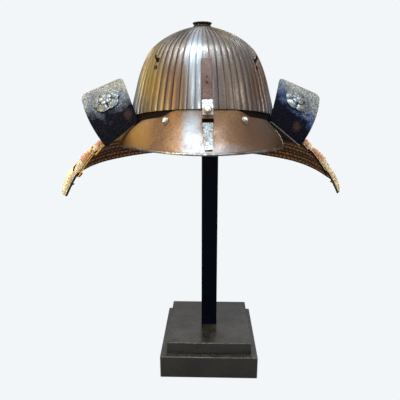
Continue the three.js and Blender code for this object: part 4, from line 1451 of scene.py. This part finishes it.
def makeFlower(side):
    # five round petals, a smaller flower cut into them, and a round middle
    columns, rows = 150, 34
    rings = [0.0] + [i / rows for i in range(1, rows + 1)]

    def at(column, row):
        turn = 2 * math.pi * column / columns
        phase = (turn * flower["petals"] / (2 * math.pi)) % 1.0
        fromMiddle = abs(phase - 0.5) * 2  # 0 at a petal's middle, 1 between two
        outline = 1 - flower["dip"] * fromMiddle ** 2.6
        if row > rows:  # the wall down to the plate
            radius = flower["radius"] * outline
            return Vector((radius * math.sin(turn), -radius * math.cos(turn), 0)), -0.6
        share = rings[row]
        r = share * outline
        away = (1 - fromMiddle) * r * math.pi / flower["petals"] * flower["radius"]  # distance to the seam
        pillow = 1 - 0.34 * math.exp(-((away / 2.6) ** 2)) * smoothStep(share, 0.45, 0.7)
        height = (math.sqrt(max(1 - share ** 3.6, 0)) * 0.8 + 0.2 * (1 - share)) * pillow
        seam = math.exp(-((away / 0.8) ** 2)) * smoothStep(share, 0.5, 0.6)
        height -= 0.3 * seam
        inner = 0.56 * (1 - 0.22 * fromMiddle ** 2.4)
        line = math.exp(-(((r - inner) * flower["radius"] / 0.6) ** 2))
        height -= 0.13 * line
        if r < inner:  # the smaller flower stands a little proud
            rise = min((inner - r) * flower["radius"] / 2.2, 1)
            height += 0.1 * rise * (1 - 0.45 * math.exp(-((away / 1.1) ** 2)) * smoothStep(r, 0.2, 0.3))
        vein = math.exp(-((away / 0.5) ** 2)) * smoothStep(share, 0.22, 0.27) * (
            1 - smoothStep(share, 0.5, 0.56)
        )
        height -= 0.06 * vein
        middle = r * flower["radius"] / 3.4
        height += 0.1 * math.sqrt(max(1 - middle * middle, 0)) - 0.08 * math.exp(
            -(((middle - 1.1) / 0.22) ** 2)
        )
        dark = max(seam, line, vein * 0.9)
        worn = -0.95 * dark if dark > 0.2 else 0.3 + 0.3 * (1 - share)
        radius = flower["radius"] * r
        return Vector(
            (radius * math.sin(turn), -radius * math.cos(turn), max(height, 0.3) * flower["dome"])
        ), worn

    def outward(column, row):
        return at(column, rows + 1 - row)

    bm = bendGrid(columns, rows + 1, outward, join=True)
    closeEnds(bm)
    place = platePoint(flower["across"], flower["up"], turnback["wall"] / 2 + flower["clear"] - 0.5)
    out = platePoint(flower["across"], flower["up"], 1) - platePoint(flower["across"], flower["up"])
    up = platePoint(flower["across"], flower["up"] + 0.05) - platePoint(flower["across"], flower["up"] - 0.05)
    bmesh.ops.transform(bm, matrix=lookAlong(place, out, up), verts=bm.verts)
    if side > 0:
        bmesh.ops.scale(bm, vec=(-1, 1, 1), verts=bm.verts)
    name = "left" if side < 0 else "right"
    makePiece("flower_" + name, bm, flowerSilver, ["flower_crest_" + name])


flowerSilver = ironMaterial("flowerSilver", {
    "base": (0.27, 0.29, 0.29), "stain": (0.17, 0.17, 0.16), "fleck": (0.07, 0.06, 0.05),
    "bare": (0.45, 0.48, 0.5),
    "low": (0.004, 0.003, 0.003), "metal": 0.85, "rough": 0.36, "rubbing": 0.4, "stainSize": 0.012,
    "pitSize": 0.0012, "bump": 0.4,
})  # fmt: skip
for side in (-1, 1):
    makeTurnback(side)
    makeFlower(side)
print("turned-back plates made")

# stand

stand = {
    "lower": {"side": 157, "height": 38, "bottom": 0, "edge": 1.3},
    "upper": {"side": 138, "height": 19.5, "bottom": 38.35, "edge": 1.3},
    "post": {"side": 26, "height": 444.35, "bottom": 58.2, "edge": 0.9},
}


def standMaterial(name, look):
    # black paint over wood, rubbed grey along its edges, with fine dust
    material, nodes, shader, place = newMaterial(name)
    grain = nodes.add("ShaderNodeMapping", {"Vector": place, "Scale": (60.0, 420.0, 420.0)}).outputs[0]
    lines = nodes.noise(grain, 1.0, 5.0, 0.6)
    cloud = nodes.spread(nodes.noise(place, 22.0, 6.0, 0.65), 0.35, 0.7)
    colour = nodes.blend(cloud, look["base"], look["shade"])
    colour = nodes.blend(nodes.spread(lines, 0.5, 0.75, 0.0, 0.35), colour, look["grain"])
    worn = nodes.worn()
    broken = nodes.calc("ADD", worn, nodes.calc("MULTIPLY", nodes.noise(place, 160.0, 5.0, 0.7), 0.6))
    colour = nodes.blend(nodes.spread(broken, 0.95, 1.3, 0.0, 0.8), colour, look["edge"])
    dust = nodes.add(
        "ShaderNodeGroup", {"Vector": place, "Amount": look["dust"]}, node_tree=dustGroup
    ).outputs[0]
    colour = nodes.blend(dust, colour, (0.3, 0.26, 0.2))
    nodes.feed(shader.inputs["Base Color"], colour)
    rough = nodes.calc(
        "ADD", nodes.calc("MULTIPLY_ADD", cloud, 0.12, look["rough"]), nodes.calc("MULTIPLY", dust, 0.4)
    )
    nodes.feed(shader.inputs["Roughness"], rough)
    shader.inputs["Specular IOR Level"].default_value = look["gloss"]
    bumpOn(nodes, shader, nodes.calc("ADD", lines, nodes.calc("MULTIPLY", cloud, 0.4)), 0.00012, 0.5)
    return material


def makeBlock(name, shape, material, node):
    bm = bmesh.new()
    worn = bm.verts.layers.float.new("worn")
    bmesh.ops.create_cube(bm, size=1)
    size = Matrix.Diagonal((shape["side"], shape["side"], shape["height"], 1))
    lift = Matrix.Translation((0, 0, shape["bottom"] + shape["height"] / 2))
    bmesh.ops.transform(bm, matrix=lift @ size, verts=bm.verts)
    bevelled = bmesh.ops.bevel(
        bm, geom=bm.edges[:], offset=shape["edge"], affect="EDGES", segments=4, profile=0.5, material=-1
    )
    for vert in bevelled["verts"]:
        vert[worn] = 0.8
    # a second line just inside each edge keeps the rubbed share off the flats
    flats = [face for face in bm.faces if face.calc_area() > 200]
    bmesh.ops.inset_individual(bm, faces=flats, thickness=0.8, use_even_offset=True)
    for face in flats:
        for vert in face.verts:
            vert[worn] = 0.0
    return makePiece(name, bm, material, [node], place=millimetres, angle=40)


basePaint = standMaterial("basePaint", {
    "base": (0.014, 0.011, 0.008), "shade": (0.022, 0.017, 0.012), "grain": (0.035, 0.026, 0.018),
    "edge": (0.12, 0.13, 0.12),
    "dust": 0.16, "rough": 0.22, "gloss": 0.55,
})  # fmt: skip
postPaint = standMaterial("postPaint", {
    "base": (0.0008, 0.0016, 0.007), "shade": (0.0008, 0.001, 0.003), "grain": (0.0015, 0.002, 0.006),
    "edge": (0.01, 0.015, 0.03), "dust": 0.0, "rough": 0.3, "gloss": 0.04,
})  # fmt: skip
makeBlock("base_step_lower", stand["lower"], basePaint, "plinth_lower")
makeBlock("base_step_upper", stand["upper"], basePaint, "plinth_upper")
makeBlock("post", stand["post"], postPaint, "stand_post")
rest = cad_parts["helmet_rest"]
rest = rest if isinstance(rest, bpy.types.Object) else bpy.data.objects["helmet_rest"]
rest.data.materials.clear()
rest.data.materials.append(postPaint)
print("stand made")

# camera, light and floor

cameraData = bpy.data.cameras.new("camera")
cameraData.sensor_width = 36
cameraData.lens = 36
camera = bpy.data.objects.new("camera", cameraData)
camera.location = (0, -0.6386, 0.4378)
camera.rotation_euler = (math.radians(90 - 14.04), 0, math.radians(1.43))
cameraData.clip_start = 0.01
scene.collection.objects.link(camera)
scene.camera = camera


def addLight(name, at, target, size, power, colour):
    data = bpy.data.lights.new(name, "AREA")
    data.shape = "RECTANGLE"
    data.size, data.size_y = size
    data.energy = power
    data.color = colour
    light = bpy.data.objects.new(name, data)
    light.location = at
    light.rotation_euler = (Vector(target) - Vector(at)).to_track_quat("-Z", "Y").to_euler()
    scene.collection.objects.link(light)


addLight("overhead", (-0.2, -0.35, 2.0), (-0.16, -0.35, 0), (0.28, 2.2), 42, (0.74, 0.88, 1.0))
addLight("window", (-0.14, -2.4, 1.2), (0, 0, 0.45), (0.25, 1.9), 24, (0.8, 0.91, 1.0))
addLight("warmSide", (-1.3, -0.75, 0.8), (0, 0, 0.45), (0.35, 0.9), 10, (1.0, 0.76, 0.3))
addLight("warmTop", (-0.85, 0.3, 1.5), (0, 0, 0.45), (0.35, 0.7), 4, (1.0, 0.85, 0.5))
addLight("neutralSide", (1.4, -0.7, 1.1), (0, 0, 0.45), (0.3, 0.9), 4, (1.0, 0.84, 0.72))
addLight("backLight", (0.2, 1.5, 1.4), (0, 0.1, 0.4), (1.4, 0.8), 3, (0.98, 0.98, 1.0))


world = bpy.data.worlds.new("studio")
world.use_nodes = True
scene.world = world
paleGround = (0.888, 0.922, 0.947)


def lightWorld():
    # the room as the pieces reflect it is dim below and brighter above
    # behind the pieces it is plain and pale
    nodes = Nodes(world.node_tree)
    backdrop = world.node_tree.nodes["Background"]
    backdrop.inputs["Color"].default_value = (*paleGround, 1)
    facing = nodes.add(
        "ShaderNodeSeparateXYZ", {0: nodes.add("ShaderNodeTexCoord").outputs["Generated"]}
    ).outputs[2]
    colour = nodes.blend(nodes.spread(facing, -0.2, 1.0), (0.12, 0.11, 0.1), (0.62, 0.65, 0.69))
    room = nodes.add("ShaderNodeBackground", {"Color": colour})
    seen = nodes.add("ShaderNodeLightPath").outputs["Is Camera Ray"]
    both = nodes.add("ShaderNodeMixShader", {0: seen, 1: room.outputs[0], 2: backdrop.outputs[0]})
    nodes.feed(world.node_tree.nodes["World Output"].inputs["Surface"], both.outputs[0])


lightWorld()


def makeFloor():
    # a pale flat floor, far wider than the stand
    bm = bmesh.new()
    bmesh.ops.create_grid(bm, x_segments=1, y_segments=1, size=6)
    mesh = bpy.data.meshes.new("floor")
    bm.to_mesh(mesh)
    bm.free()
    material, nodes, shader, place = newMaterial("paleFloor")
    cloud = nodes.noise(place, 3.0, 3.0, 0.5)
    nodes.feed(shader.inputs["Base Color"], nodes.blend(cloud, (0.22, 0.225, 0.23), (0.25, 0.255, 0.26)))
    shader.inputs["Roughness"].default_value = 0.9
    plain = nodes.add("ShaderNodeEmission", {"Color": (*paleGround, 1)})
    seen = nodes.add("ShaderNodeLightPath").outputs["Is Camera Ray"]
    both = nodes.add("ShaderNodeMixShader", {0: seen, 1: shader.outputs[0], 2: plain.outputs[0]})
    nodes.feed(material.node_tree.nodes["Material Output"].inputs["Surface"], both.outputs[0])
    mesh.materials.append(material)
    floor = bpy.data.objects.new("floor", mesh)
    scene.collection.objects.link(floor)


makeFloor()
print("stage set")
